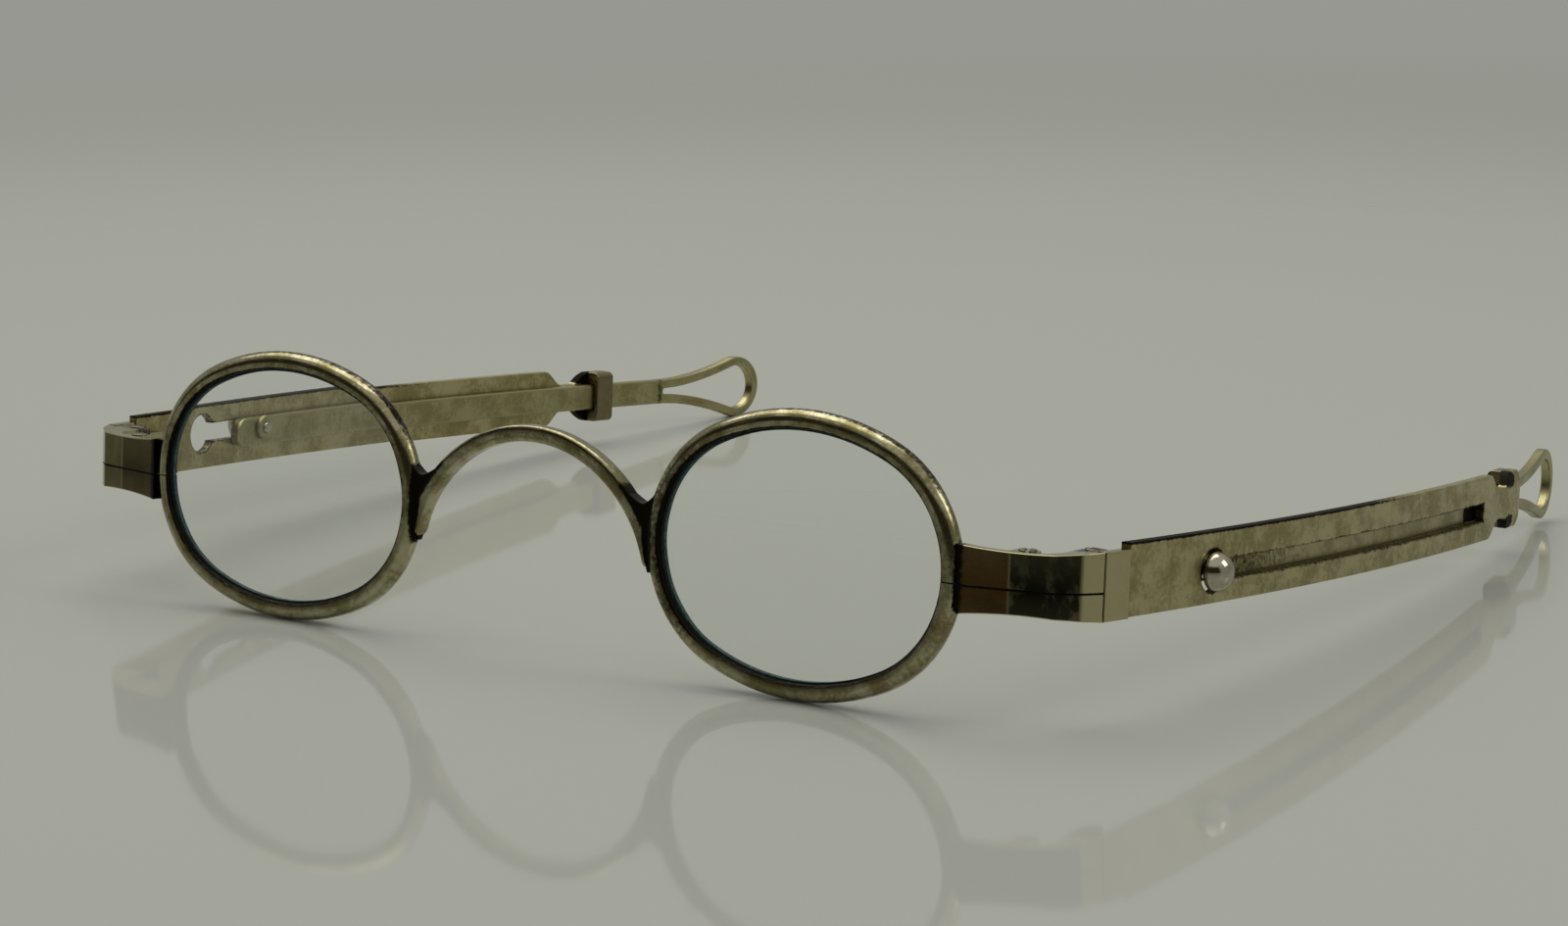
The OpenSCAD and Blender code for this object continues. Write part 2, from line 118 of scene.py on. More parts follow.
class Side(Named):
    """Side of the object, with the sign of its x."""

    RIGHT = 1
    LEFT = -1


class Half(Named):
    """Half of an end piece, with the sign of its z."""

    UPPER = 1
    LOWER = -1


# Shapes as whole arrays


def smooth(low: float, high: float, value: Array | float) -> Array:
    """Smooth step t*t*(3 - 2t), with t = (value - low) / (high - low) held in 0 to 1."""
    t = np.clip((np.asarray(value, float) - low) / (high - low), 0.0, 1.0)
    return t * t * (3.0 - 2.0 * t)


def together(*parts: Array | float) -> Array:
    """Coordinates side by side on a new last axis, after all are stretched to one shape."""
    return np.stack(np.broadcast_arrays(*parts), axis=-1)


def arc(centre: Sequence[float], radius: float, start: float, stop: float, count: int) -> Array:
    """Points of an arc: centre + radius * (cos a, sin a).

    Args:
        centre: Centre of the arc.
        radius: Its radius.
        start: First angle, in degrees.
        stop: Last angle, in degrees.
        count: Number of points.

    Returns:
        Points, shape (count, 2).
    """
    turn = np.radians(np.linspace(start, stop, count))
    return together(centre[0] + radius * np.cos(turn), centre[1] + radius * np.sin(turn))


def line(knots: Sequence[Sequence[float]], counts: Sequence[int]) -> Array:
    """Points along a polyline, each stretch cut into its own number of equal steps.

    Args:
        knots: Corners of the polyline.
        counts: Number of steps of each stretch.

    Returns:
        Points, shape (sum(counts) + 1, 2).
    """
    knots = np.asarray(knots, float)
    ends = np.concatenate([[0], np.cumsum(counts)])
    steps = np.arange(ends[-1] + 1)
    return together(*(np.interp(steps, ends, column) for column in knots.T))


def along(points: Array) -> Array:
    """Distance along a polyline from its first point."""
    return np.concatenate([[0.0], np.cumsum(np.linalg.norm(np.diff(points, axis=0), axis=1))])


def circle(count: int) -> Array:
    """Angles of a full turn in equal steps, without the last one, shape (1, count)."""
    return np.linspace(0.0, 2.0 * np.pi, count, endpoint=False)[None]


def weld(mesh: bpy.types.Mesh, distance: float) -> None:
    """Merges the points of a mesh that lie closer than the distance, and turns its faces out.

    Args:
        mesh: The mesh.
        distance: In metres.
    """
    work = bmesh.new()
    work.from_mesh(mesh)
    bmesh.ops.remove_doubles(work, verts=work.verts, dist=distance)
    bmesh.ops.recalc_face_normals(work, faces=work.faces)
    work.to_mesh(mesh)
    work.free()


@dataclass
class Shell:
    """Closed surface: points, faces and marks that the finishes read.

    The marks are edge, 1 where an edge is rounded, hollow, 1 where dirt, solder and painted
    shade lie, the mark of painted reflection, 1 where a polished face takes a painted dark
    reflection, and grain, the place in millimetres along and across.
    """

    points: Array
    faces: list[list[int]]
    edge: Array
    hollow: Array
    stain: Array
    grain: Array
    paint: list[int]

    @classmethod
    def made(cls, points: Array, faces: list[list[int]], edge: Array | float = 0.0,
             hollow: Array | float = 0.0, stain: Array | float = 0.0,
             grain: Array | None = None) -> "Shell":
        """Shell whose marks are filled in where they aren't given.

        Args:
            points: Points, shape (..., 3).
            faces: Faces, as numbers of points.
            edge: The edge mark.
            hollow: The hollow mark.
            stain: The mark of painted dark reflection.
            grain: Place for the finishes, or None for the points themselves.

        Returns:
            The shell, painted with the first finish only.
        """
        points = np.asarray(points, float).reshape(-1, 3)
        marks = (
            np.broadcast_to(np.ravel(mark), len(points)).astype(float)
            for mark in (edge, hollow, stain)
        )
        grain = points.copy() if grain is None else np.asarray(grain, float).reshape(-1, 3)
        return cls(points, faces, *marks, grain, [0] * len(faces))

    @classmethod
    def grid(cls, points: Array, caps: bool = False, **marks: Array) -> "Shell":
        """Rings of quads: face (i, j) joins points (i, j), (i+1, j), (i+1, j+1), (i, j+1).

        Args:
            points: Points, shape (rows, columns, 3); the last column joins the first.
            caps: Whether the first and the last row are closed with one face each.
            marks: Marks of the points, by name.

        Returns:
            The shell.
        """
        rows, columns = points.shape[:2]
        index = np.arange(rows * columns).reshape(rows, columns)
        after = np.roll(index, -1, axis=1)
        faces = np.stack([index[:-1], index[1:], after[1:], after[:-1]], axis=-1).reshape(-1, 4).tolist()
        if caps:
            faces += [index[0].tolist(), index[-1][::-1].tolist()]
        return cls.made(points, faces, **marks)

    @classmethod
    def turned(cls, profile: Array, place: Place, count: int = 64, hollow: float = 0.0) -> "Shell":
        """Profile turned round an axis: (r, h) goes to (r cos a, r sin a, h).

        Args:
            profile: Radius and height of the profile, from pole to pole, shape (n, 2).
            place: Takes the turned points to their place.
            count: Number of steps round the axis.
            hollow: The hollow mark of every point.

        Returns:
            The shell.
        """
        turn = circle(count)
        r, h = profile[:, 0, None], profile[:, 1, None]
        points = together(r * np.cos(turn), r * np.sin(turn), h)
        return cls.grid(place(points), hollow=hollow, grain=points)

    @staticmethod
    def joined(shells: Sequence["Shell"]) -> "Shell":
        """Several shells as one.

        Args:
            shells: The shells.

        Returns:
            One shell with all their points, faces and marks.
        """
        starts = np.cumsum([0] + [len(s.points) for s in shells[:-1]])
        faces = [[int(start) + i for i in f] for start, s in zip(starts, shells) for f in s.faces]
        marks = {
            name: np.concatenate([getattr(s, name) for s in shells])
            for name in ("points", "edge", "hollow", "stain", "grain")
        }
        return Shell(faces=faces, paint=sum((s.paint for s in shells), []), **marks)


@dataclass
class Sheet:
    """Flat sheet of quads in two coordinates, which a solid is made from."""

    MITRE: ClassVar[float] = 1.6
    WALL_RING: ClassVar[float] = 1.3

    points: Array
    faces: Array

    @classmethod
    def grid(cls, points: Array, keep: Array | None = None) -> "Sheet":
        """Sheet of quads from a grid of points; faces without area are dropped.

        Args:
            points: Points, shape (rows, columns, 2).
            keep: Which faces are kept, shape (rows - 1, columns - 1), or None for all.

        Returns:
            The sheet, with all its faces turned the same way.
        """
        rows, columns = points.shape[:2]
        index = np.arange(rows * columns).reshape(rows, columns)
        quads = np.stack([index[:-1, :-1], index[1:, :-1], index[1:, 1:], index[:-1, 1:]], axis=-1)
        faces = quads[keep] if keep is not None else quads.reshape(-1, 4)
        x, y = points.reshape(-1, 2)[faces].transpose(2, 0, 1)
        area = 0.5 * (x * np.roll(y, -1, axis=1) - np.roll(x, -1, axis=1) * y).sum(axis=1)
        faces = faces[:, ::-1] if area.sum() < 0.0 else faces
        return cls(points.reshape(-1, 2), faces[np.abs(area) > NO_AREA])

    @classmethod
    def between(cls, a: Array, b: Array, shares: Sequence[float]) -> "Sheet":
        """Sheet between two lines of points: a + (b - a) * share, for each share."""
        share = np.asarray(shares, float)[None, :, None]
        return cls.grid(a[:, None] + (b - a)[:, None] * share)

    def joined(self, other: "Sheet") -> "Sheet":
        """This sheet and another as one."""
        faces = np.concatenate([self.faces, other.faces + len(self.points)])
        return Sheet(np.concatenate([self.points, other.points]), faces)

    @staticmethod
    def border(faces: Array, count: int) -> tuple[Array, Array]:
        """Edges of the border, which only one face has.

        Args:
            faces: Faces as numbers of welded points.
            count: Number of welded points.

        Returns:
            Ends of the border's edges and ends of all edges, each of shape (n, 2).
        """
        ends = np.stack([faces, np.roll(faces, -1, axis=1)], axis=-1).reshape(-1, 2)
        ends = ends[ends[:, 0] != ends[:, 1]]
        alone = ~np.isin(ends[:, 1] * count + ends[:, 0], ends[:, 0] * count + ends[:, 1])
        return ends[alone], ends

    def inward(self, points: Array, border: Array, ends: Array) -> Array:
        """Way of each point when the border moves inwards by 1.

        A point of the border moves along the mitre of its two edges, held to MITRE, and the
        points inside follow by the mean of their neighbours, so no face folds over.

        Args:
            points: Welded points, shape (n, 2).
            border: Edges of the border.
            ends: All edges.

        Returns:
            Ways, shape (n, 2).
        """
        count = len(points)
        run = points[border[:, 1]] - points[border[:, 0]]
        side = together(-run[:, 1], run[:, 0]) / np.linalg.norm(run, axis=1)[:, None]
        ways = np.zeros((count, 2))
        np.add.at(ways, border[:, 0], side)
        np.add.at(ways, border[:, 1], side)
        fixed = np.isin(np.arange(count), border)
        length = np.maximum(np.linalg.norm(ways[fixed], axis=1)[:, None], 1e-6)
        ways[fixed] *= np.minimum(2.0 / length ** 2, self.MITRE / length)
        pairs = np.unique(np.sort(ends, axis=1), axis=0)
        degree = np.maximum(np.bincount(pairs.ravel(), minlength=count)[:, None], 1)
        for _ in range(RELAX_STEPS):
            mean = np.zeros((count, 2))
            np.add.at(mean, pairs[:, 0], ways[pairs[:, 1]])
            np.add.at(mean, pairs[:, 1], ways[pairs[:, 0]])
            ways = np.where(fixed[:, None], ways, mean / degree)
        return ways

    def solid(self, top: Place, bottom: Place, rounding: float, hollow: Place | None = None,
              stain: Place | None = None, steps: int = 4) -> Shell:
        """Solid between two surfaces over the sheet, with a quarter-round edge on both sides.

        At the angle a, from 0 to 90 degrees, the edge lies rounding * (1 - sin a) inside the
        border and rounding * (1 - cos a) below the surface. One more ring, WALL_RING roundings
        down, keeps the wall between the two quarter rounds flat in its shading.

        Args:
            top: Takes points of the sheet to the outer surface.
            bottom: Takes points of the sheet to the inner surface.
            rounding: Radius of the edge.
            hollow: Gives the hollow mark of points of the sheet.
            stain: Gives the mark of painted dark reflection of points of the sheet.
            steps: Number of faces across the quarter round.

        Returns:
            The closed shell.
        """
        welded, inverse = np.unique(np.round(self.points, 4), axis=0, return_inverse=True)
        inverse = inverse.ravel()
        border, ends = self.border(inverse[self.faces], len(welded))
        inward = self.inward(welded, border, ends)
        on_border = np.isin(np.arange(len(welded)), border)
        moved = self.points + rounding * inward[inverse]
        angle = np.linspace(0.0, np.pi / 2.0, steps + 1)
        inset = rounding * np.append(1.0 - np.sin(angle), 0.0)
        depth = rounding * np.append(1.0 - np.cos(angle), self.WALL_RING)
        edge_points, edge_inward = welded[on_border], inward[on_border]
        upper, lower = [], []
        for i, d in zip(inset, depth):
            at = edge_points + i * edge_inward
            high, low = top(at), bottom(at)
            share = d / np.linalg.norm(low - high, axis=1)[:, None]
            upper.append(high + (low - high) * share)
            lower.append(high + (low - high) * (1.0 - share))
        rings = upper + lower[::-1]
        number = np.cumsum(on_border) - 1
        a, b = number[border].T
        size = len(edge_points)
        walls = [
            together(a + k * size, b + k * size, b + (k + 1) * size, a + (k + 1) * size)
            for k in range(len(rings) - 1)
        ]
        faces = np.concatenate([
            self.faces, self.faces[:, ::-1] + len(self.points),
            np.concatenate(walls) + 2 * len(self.points),
        ])
        flat = np.concatenate([moved, moved, np.tile(edge_points, (len(rings), 1))])
        edge = np.concatenate([np.tile(on_border[inverse], 2), np.ones(len(rings) * size)])
        points = np.concatenate([top(moved), bottom(moved)] + rings)
        return Shell.made(points, faces.tolist(), edge, hollow(flat) if hollow else 0.0,
                          stain(flat) if stain else 0.0)


@dataclass(frozen=True)
class Stand:
    """Lean and place of the whole object on the surface that it rests on."""

    tilt: float
    centre_y: float
    foot_r: float

    def place(self, points: Array, mirror: float) -> Array:
        """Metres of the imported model, for points in the maker's frame.

        With t the tilt and f the radius of the wire that touches the surface,
        y' = y cos t + (z - f) sin t - centre_y and z' = f - y sin t + (z - f) cos t.

        Args:
            points: Points, shape (..., 3).
            mirror: 1 for the right side, -1 for the left side.

        Returns:
            Points of the same shape.
        """
        t = math.radians(self.tilt)
        x, y, z = points[..., 0], points[..., 1], points[..., 2] - self.foot_r
        return MM * together(
            mirror * x,
            y * math.cos(t) + z * math.sin(t) - self.centre_y,
            self.foot_r - y * math.sin(t) + z * math.cos(t),
        )


@dataclass
class Bench:
    """Where shells become pieces of the scene."""

    stand: Stand
    made: int = 0

    def piece(self, name: str, node: str, shell: Shell, side: Side | None, body: str,
              *finishes: "Finish") -> bpy.types.Object:
        """Makes a piece, which rides on a body and stands for a node.

        The word of the side is added to the name, to the node, and to a body other than the front.

        Args:
            name: Name of the piece.
            node: Node that it replaces.
            shell: Its surface in the maker's frame, as on the right side.
            side: Side on which it lies, or None in the middle.
            body: Body that it moves with.
            finishes: Its finishes.

        Returns:
            The new object.
        """
        if side:
            name, node = f"{name}_{side.word}", f"{node}_{side.word}"
            body = body if body == "front" else f"{body}_{side.word}"
        mesh = bpy.data.meshes.new(name)
        mesh.from_pydata(self.stand.place(shell.points, side.value if side else 1), [], shell.faces)
        for label in ("edge", "hollow", "stain"):
            values = getattr(shell, label)
            mesh.attributes.new(label, "FLOAT", "POINT").data.foreach_set("value", values)
        grain = shell.grain + [0.0, 0.0, LEFT_GRAIN if side is Side.LEFT else 0.0]
        mesh.attributes.new("grain", "FLOAT_VECTOR", "POINT").data.foreach_set("vector", grain.ravel())
        mesh.polygons.foreach_set("material_index", np.array(shell.paint, np.int32))
        weld(mesh, WELD)
        mesh.polygons.foreach_set("use_smooth", np.ones(len(mesh.polygons), bool))
        mesh.set_sharp_from_angle(angle=math.radians(SHARP_ANGLE))
        obj = bpy.data.objects.new(name, mesh)
        bpy.context.scene.collection.objects.link(obj)
        for finish in finishes:
            mesh.materials.append(finish.material())
        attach(obj, body)
        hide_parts(node)
        self.made += 1
        log.info("%s: %d faces on %s", name, len(mesh.polygons), body)
        return obj


# Shader tools


class Value:
    """Number or vector that leaves a node; arithmetic on it adds Math nodes."""

    def __init__(self, recipe: "Recipe", socket: bpy.types.NodeSocket) -> None:
        """Wraps an output socket."""
        self.recipe = recipe
        self.socket = socket

    def _math(self, operation: str, a: "Value | float", b: "Value | float" = 0.0) -> "Value":
        """Result of one Math node."""
        return self.recipe.add("ShaderNodeMath", {"operation": operation}, {0: a, 1: b})

    def __add__(self, other: "Value | float") -> "Value":
        """Sum."""
        return self._math("ADD", self, other)

    __radd__ = __add__

    def __sub__(self, other: "Value | float") -> "Value":
        """Difference."""
        return self._math("SUBTRACT", self, other)

    def __rsub__(self, other: "Value | float") -> "Value":
        """Difference, the other way round."""
        return self._math("SUBTRACT", other, self)

    def __mul__(self, other: "Value | float") -> "Value":
        """Product."""
        return self._math("MULTIPLY", self, other)

    __rmul__ = __mul__

    def most(self, other: "Value | float") -> "Value":
        """The larger of the two."""
        return self._math("MAXIMUM", self, other)

    def held(self) -> "Value":
        """The number, held in 0 to 1."""
        return self.recipe.add("ShaderNodeClamp", {}, {"Value": self})

    def smooth(self, low: float, high: float) -> "Value":
        """Smooth step from 0 at low to 1 at high.

        Args:
            low: Where the step starts.
            high: Where it ends; it may be the smaller of the two.

        Returns:
            The step, as a value.
        """
        if low > high:
            return 1.0 - self.smooth(high, low)
        return self.recipe.add(
            "ShaderNodeMapRange", {"interpolation_type": "SMOOTHSTEP"},
            {"Value": self, "From Min": low, "From Max": high},
        )


class Recipe:
    """Node tree of one material or of the world."""

    def __init__(self, tree: bpy.types.NodeTree) -> None:
        """Starts with an empty tree."""
        self.tree = tree
        tree.nodes.clear()

    def node(self, kind: str, settings: dict | None = None,
             inputs: dict | None = None) -> bpy.types.Node:
        """Adds a node.

        Args:
            kind: Type of the node.
            settings: Its settings, set before its sockets.
            inputs: Values or links, by the name or number of the socket.

        Returns:
            The node.
        """
        node = self.tree.nodes.new(kind)
        for name, setting in (settings or {}).items():
            setattr(node, name, setting)
        for key, value in (inputs or {}).items():
            if isinstance(value, Value):
                self.tree.links.new(value.socket, node.inputs[key])
            elif isinstance(value, bpy.types.NodeSocket):
                self.tree.links.new(value, node.inputs[key])
            else:
                node.inputs[key].default_value = value
        return node

    def add(self, kind: str, settings: dict | None = None, inputs: dict | None = None,
            output: int | str = 0) -> Value:
        """Adds a node and returns one of its outputs as a value."""
        return Value(self, self.node(kind, settings, inputs).outputs[output])

    def mark(self, name: str) -> Value:
        """Mark of the surface with the given name."""
        return self.add("ShaderNodeAttribute", {"attribute_name": name}, {}, "Fac")

    def grain(self, stretch: Triple = (1.0, 1.0, 1.0)) -> Value:
        """Place along and across the piece, in millimetres, stretched by a factor on each axis."""
        place = self.add("ShaderNodeAttribute", {"attribute_name": "grain"}, {}, "Vector")
        return self.add("ShaderNodeVectorMath", {"operation": "MULTIPLY"}, {0: place, 1: stretch})

    def parts(self, vector: Value) -> list[Value]:
        """The x, y and z of a vector."""
        return [Value(self, out) for out in self.node("ShaderNodeSeparateXYZ", {}, {0: vector}).outputs]

    def noise(self, place: Value, scale: float, detail: float = 3.0, rough: float = 0.5) -> Value:
        """Noise whose blotches are about 1 / scale millimetres wide.

        Args:
            place: Where it is read.
            scale: Blotches per millimetre.
            detail: Number of finer layers.
            rough: Strength of each finer layer.

        Returns:
            The noise, mostly between 0.3 and 0.7.
        """
        return self.add(
            "ShaderNodeTexNoise", {},
            {"Vector": place, "Scale": scale, "Detail": detail, "Roughness": rough},
        )

    def bump(self, height: Value, strength: float) -> Value:
        """Normal of a surface whose bumps are up to BUMP_HEIGHT millimetres high.

        Args:
            height: Height as a share of that.
            strength: Share of the bumps that shows.

        Returns:
            The normal.
        """
        return self.add("ShaderNodeBump", {}, {
            "Strength": strength, "Distance": BUMP_HEIGHT * MM, "Height": height,
        })

    def mix(self, share: Value | float, a: Value | Colour, b: Value | Colour) -> Value:
        """Colour a where the share is 0 and b where it is 1."""
        a, b = ((c if isinstance(c, Value) else (*c, 1.0)) for c in (a, b))
        return self.add("ShaderNodeMix", {"data_type": "RGBA"}, {0: share, 6: a, 7: b}, 2)

    def ray(self, *kinds: str) -> Value:
        """Test for the kind of the ray that sees the surface.

        Args:
            kinds: Outputs of the Light Path node.

        Returns:
            1 for a ray of any of these kinds, otherwise 0.
        """
        path = self.node("ShaderNodeLightPath")
        result, *others = (Value(self, path.outputs[kind]) for kind in kinds)
        for other in others:
            result = result.most(other)
        return result


def dressed(name: str, surface: Callable[[Recipe], Value]) -> bpy.types.Material:
    """Makes a material.

    Args:
        name: Its name.
        surface: Adds the nodes of its shader to a recipe and returns the shader.

    Returns:
        The new material.
    """
    material = bpy.data.materials.new(name)
    material.use_nodes = True
    recipe = Recipe(material.node_tree)
    recipe.node("ShaderNodeOutputMaterial", {}, {"Surface": surface(recipe)})
    return material


@dataclass(frozen=True)
class Finish:
    """A finish, with the record's slot that it belongs to."""

    name: str
    slot: str

    def material(self) -> bpy.types.Material:
        """The material of this finish, made once."""
        return bpy.data.materials.get(self.name) or dressed(self.name, self.surface)

    def surface(self, recipe: Recipe) -> Value:
        """Shader of the finish."""
        raise NotImplementedError


@dataclass(frozen=True)
class AgedSilver(Finish):
    """Old silver: a warm dull skin in patches over brighter metal, dark in its pits, with tarnish
    and painted shade in its hollows, and a painted dark reflection where that mark is set.

    The scales are in blotches per millimetre. Streaks run along the piece and crosses over it.
    """

    bright: Colour = (0.50, 0.44, 0.27)
    dull: Colour = (0.36, 0.31, 0.16)
    # Colour of tarnish and of painted shade where the hollow mark is set
    tarnish: Colour = (0.012, 0.009, 0.005)
    smoothest: float = 0.22
    roughest: float = 0.42
    patches: float = 0.6
    pits: float = 0.6
    scratches: float = 0.5
    edge_wear: float = 0.5
    bumps: float = 0.35
    # Split and colours of the painted dark reflection on the end pieces' outer faces
    stain_from: float = 45.6
    stain_first: Colour = (0.064, 0.038, 0.013)
    stain_last: Colour = (0.013, 0.014, 0.008)
    cloud_scale: float = 0.33
    mottle_scale: float = 2.6
    speck_scale: float = 9.0
    streak: Triple = (0.35, 9.0, 9.0)
    cross: Triple = (7.0, 0.6, 0.6)
    haze_scale: float = 1.1
    # Heights over which the pale clouds of the painted reflection thin out upwards
    stain_top: float = 13.0
    stain_foot: float = 9.8

    def surface(self, recipe: Recipe) -> Value:
        """Shader of the finish.

        The dull share is a smooth step of blotches 3 mm wide with finer mottling; tarnish and painted
        shade follow the largest of the hollow mark, broken up by mottling, and of scattered pits. Edges
        that are touched keep the bright metal.

        Args:
            recipe: Where the nodes are added.

        Returns:
            The shader.
        """
        place = recipe.grain()
        cloud = recipe.noise(place, self.cloud_scale, 5.0, 0.6)
        mottle = recipe.noise(place, self.mottle_scale, 4.0, 0.65)
        speck = recipe.noise(place, self.speck_scale, 2.0)
        streak = recipe.noise(recipe.grain(self.streak), 1.0, 2.0)
        cross = recipe.noise(recipe.grain(self.cross), 1.0, 2.0)
        hollow, edge = recipe.mark("hollow"), recipe.mark("edge")
        dull = ((cloud * 0.65 + mottle * 0.35).smooth(0.40, 0.60) * self.patches).held()
        pit = speck.smooth(0.67, 0.72) * cloud.smooth(0.42, 0.60) * self.pits
        scratch = (streak.smooth(0.62, 0.70) + cross.smooth(0.68, 0.74) * 0.5) * self.scratches
        # Tarnish and painted shade where the hollow mark is set, and in the pits
        dirt = (hollow + (mottle - 0.5) * 0.9 * hollow.smooth(0.02, 0.3)).smooth(0.25, 0.75)
        dirt = dirt.most(pit)
        worn = (edge * self.edge_wear * (1.0 - hollow)).held()
        skin = recipe.mix(dull * (1.0 - worn), self.bright, self.dull)
        skin = recipe.mix(scratch * 0.25, skin, self.dull)
        colour = recipe.mix(dirt, self.stained(recipe, skin, cloud, mottle), self.tarnish)
        rough = self.smoothest + (self.roughest - self.smoothest) * (dull * 0.7 + mottle * 0.3)
        rough = (rough + dirt * 0.35 - worn * 0.08 + scratch * 0.06).held()
        height = mottle * 0.35 + speck * 0.12 - scratch * 0.30 - pit * 0.7 + cloud * 0.8
        return recipe.add("ShaderNodeBsdfPrincipled", {}, {
            "Base Color": colour, "Roughness": rough, "Metallic": 1.0,
            "Normal": recipe.bump(height, self.bumps),
        })

    def stained(self, recipe: Recipe, skin: Value, cloud: Value, mottle: Value) -> Value:
        """Colour of the skin with a painted dark reflection where its mark is set.

        The painted reflection takes the first colour up to the split along the piece and the last
        one beyond, with a painted light line between them. The last colour has paler clouds, which
        are thickest low down.

        Args:
            recipe: Where the nodes are added.
            skin: Colour of the skin without the painted reflection.
            cloud: Noise of large blotches.
            mottle: Noise of small blotches.

        Returns:
            The colour.
        """
        x, _, z = recipe.parts(recipe.grain())
        start = self.stain_from
        # Painted dark reflection: the first colour, then the last one with pale clouds, and a painted
        # light line between
        first = recipe.mix(cloud.smooth(0.40, 0.62) * 0.6, self.stain_first,
                           tuple(1.9 * c for c in self.stain_first))
        haze = recipe.noise(recipe.grain((1.0, 1.0, 0.6)), self.haze_scale, 4.0, 0.6)
        low = 0.30 + 0.70 * z.smooth(self.stain_top, self.stain_foot)
        pale = haze.smooth(0.46, 0.68) * low * (0.25 + mottle * 0.3)
        last = recipe.mix(pale, self.stain_last, self.dull)
        tone = recipe.mix(x.smooth(start - 0.05, start + 0.05), first, last)
        painted_light_line = x.smooth(start - 0.22, start - 0.10) * x.smooth(start + 0.10, start - 0.02)
        tone = recipe.mix(painted_light_line * 0.40, tone, self.dull)
        return recipe.mix(recipe.mark("stain"), skin, tone)


@dataclass(frozen=True)
class ClearGlass(Finish):
    """Old clear glass with a faint green cast and a few specks; its shadow is light."""

    tint: Colour = (0.955, 0.975, 0.965)
    dust: Colour = (0.20, 0.20, 0.17)
    index: float = 1.5

    def surface(self, recipe: Recipe) -> Value:
        """Shader of the finish: glass, clear to shadow rays, with specks of dust mixed in.

        Args:
            recipe: Where the nodes are added.

        Returns:
            The shader.
        """
        place = recipe.grain()
        glass = recipe.add("ShaderNodeBsdfPrincipled", {}, {
            "Base Color": (*self.tint, 1.0), "Roughness": 0.0, "IOR": self.index,
            "Transmission Weight": 1.0,
        })
        dust = recipe.add("ShaderNodeBsdfPrincipled", {}, {
            "Base Color": (*self.dust, 1.0), "Roughness": 0.8,
        })
        speck = recipe.noise(place, 3.2, 2.0).smooth(0.80, 0.84)
        speck = speck * recipe.noise(place, 0.2).smooth(0.5, 0.65)
        dusty = recipe.add("ShaderNodeMixShader", {}, {0: speck * 0.6, 1: glass, 2: dust})
        clear = recipe.add("ShaderNodeBsdfTransparent", {}, {"Color": (*self.tint, 1.0)})
        shadow = recipe.ray("Is Shadow Ray")
        return recipe.add("ShaderNodeMixShader", {}, {0: shadow, 1: dusty, 2: clear})


@dataclass(frozen=True)
class GroundEdge(Finish):
    """Ground edge of a lens, dark blue-green where it is seen through the glass."""

    colour: Colour = (0.024, 0.050, 0.048)
    chip_scale: float = 4.0
    bumps: float = 0.5

    def surface(self, recipe: Recipe) -> Value:
        """Shader of the finish: small chips are paler and rougher.

        Args:
            recipe: Where the nodes are added.

        Returns:
            The shader.
        """
        chips = recipe.noise(recipe.grain(), self.chip_scale, 4.0)
        colour = recipe.mix(chips.smooth(0.4, 0.7), self.colour, tuple(2.4 * c for c in self.colour))
        return recipe.add("ShaderNodeBsdfPrincipled", {}, {
            "Base Color": colour, "Roughness": 0.35 + chips * 0.2,
            "Normal": recipe.bump(chips, self.bumps),
        })


RIM_SILVER = AgedSilver(
    "aged silver of the rims", "rim_silver", bright=(0.42, 0.390, 0.258), dull=(0.188, 0.163, 0.072),
    patches=0.95, scratches=1.0, pits=1.0, smoothest=0.10, roughest=0.26, bumps=0.40,
)
END_SILVER = AgedSilver(
    "polished silver of the end pieces", "end_silver", bright=(0.41, 0.372, 0.212),
    smoothest=0.09, roughest=0.24, patches=0.5, pits=0.3, bumps=0.15,
)
# The left end piece's painted dark reflection, in other colours
LEFT_END_SILVER = replace(
    END_SILVER, name="browned silver of the left end piece", stain_from=46.4,
    stain_first=(0.036, 0.029, 0.008), stain_last=(0.095, 0.086, 0.034),
)
STRIP_SILVER = AgedSilver(
    "satin silver of the strips", "strip_silver", bright=(0.43, 0.388, 0.212),
    dull=(0.230, 0.195, 0.076), smoothest=0.28, roughest=0.46, edge_wear=0.1, patches=0.8, pits=1.0,
)
# Painted dark reflection: a darker copy of the strip silver for the keepers
KEEPER_REFLECTION_SILVER = AgedSilver(
    "dark silver of the keepers", "strip_silver", bright=(0.20, 0.17, 0.09),
    dull=(0.10, 0.085, 0.04), smoothest=0.24, roughest=0.40,
)
SLIDER_SILVER = AgedSilver(
    "rubbed silver of the sliders", "slider_silver", bright=(0.365, 0.332, 0.180),
    dull=(0.225, 0.196, 0.082), smoothest=0.28, roughest=0.44, patches=0.8,
)
STUD_SILVER = AgedSilver(
    "finger-polished silver of the studs", "stud_silver", bright=(0.45, 0.42, 0.34),
    dull=(0.26, 0.23, 0.16), smoothest=0.06, roughest=0.16, patches=0.4, pits=0.2, bumps=0.10,
)
SCREW_SILVER = AgedSilver(
    "dark metal of the screws", "screw_silver", bright=(0.20, 0.18, 0.12),
    dull=(0.09, 0.08, 0.05), smoothest=0.22, roughest=0.42, patches=0.9,
)
LENS_GLASS = ClearGlass("clear glass", "lens_glass")
LENS_EDGE = GroundEdge("ground edge of the lenses", "lens_glass")


# The pieces


def dirty(p: Array) -> Array:
    """Hollow mark of a piece that is dirty all over."""
    return np.ones(len(p))


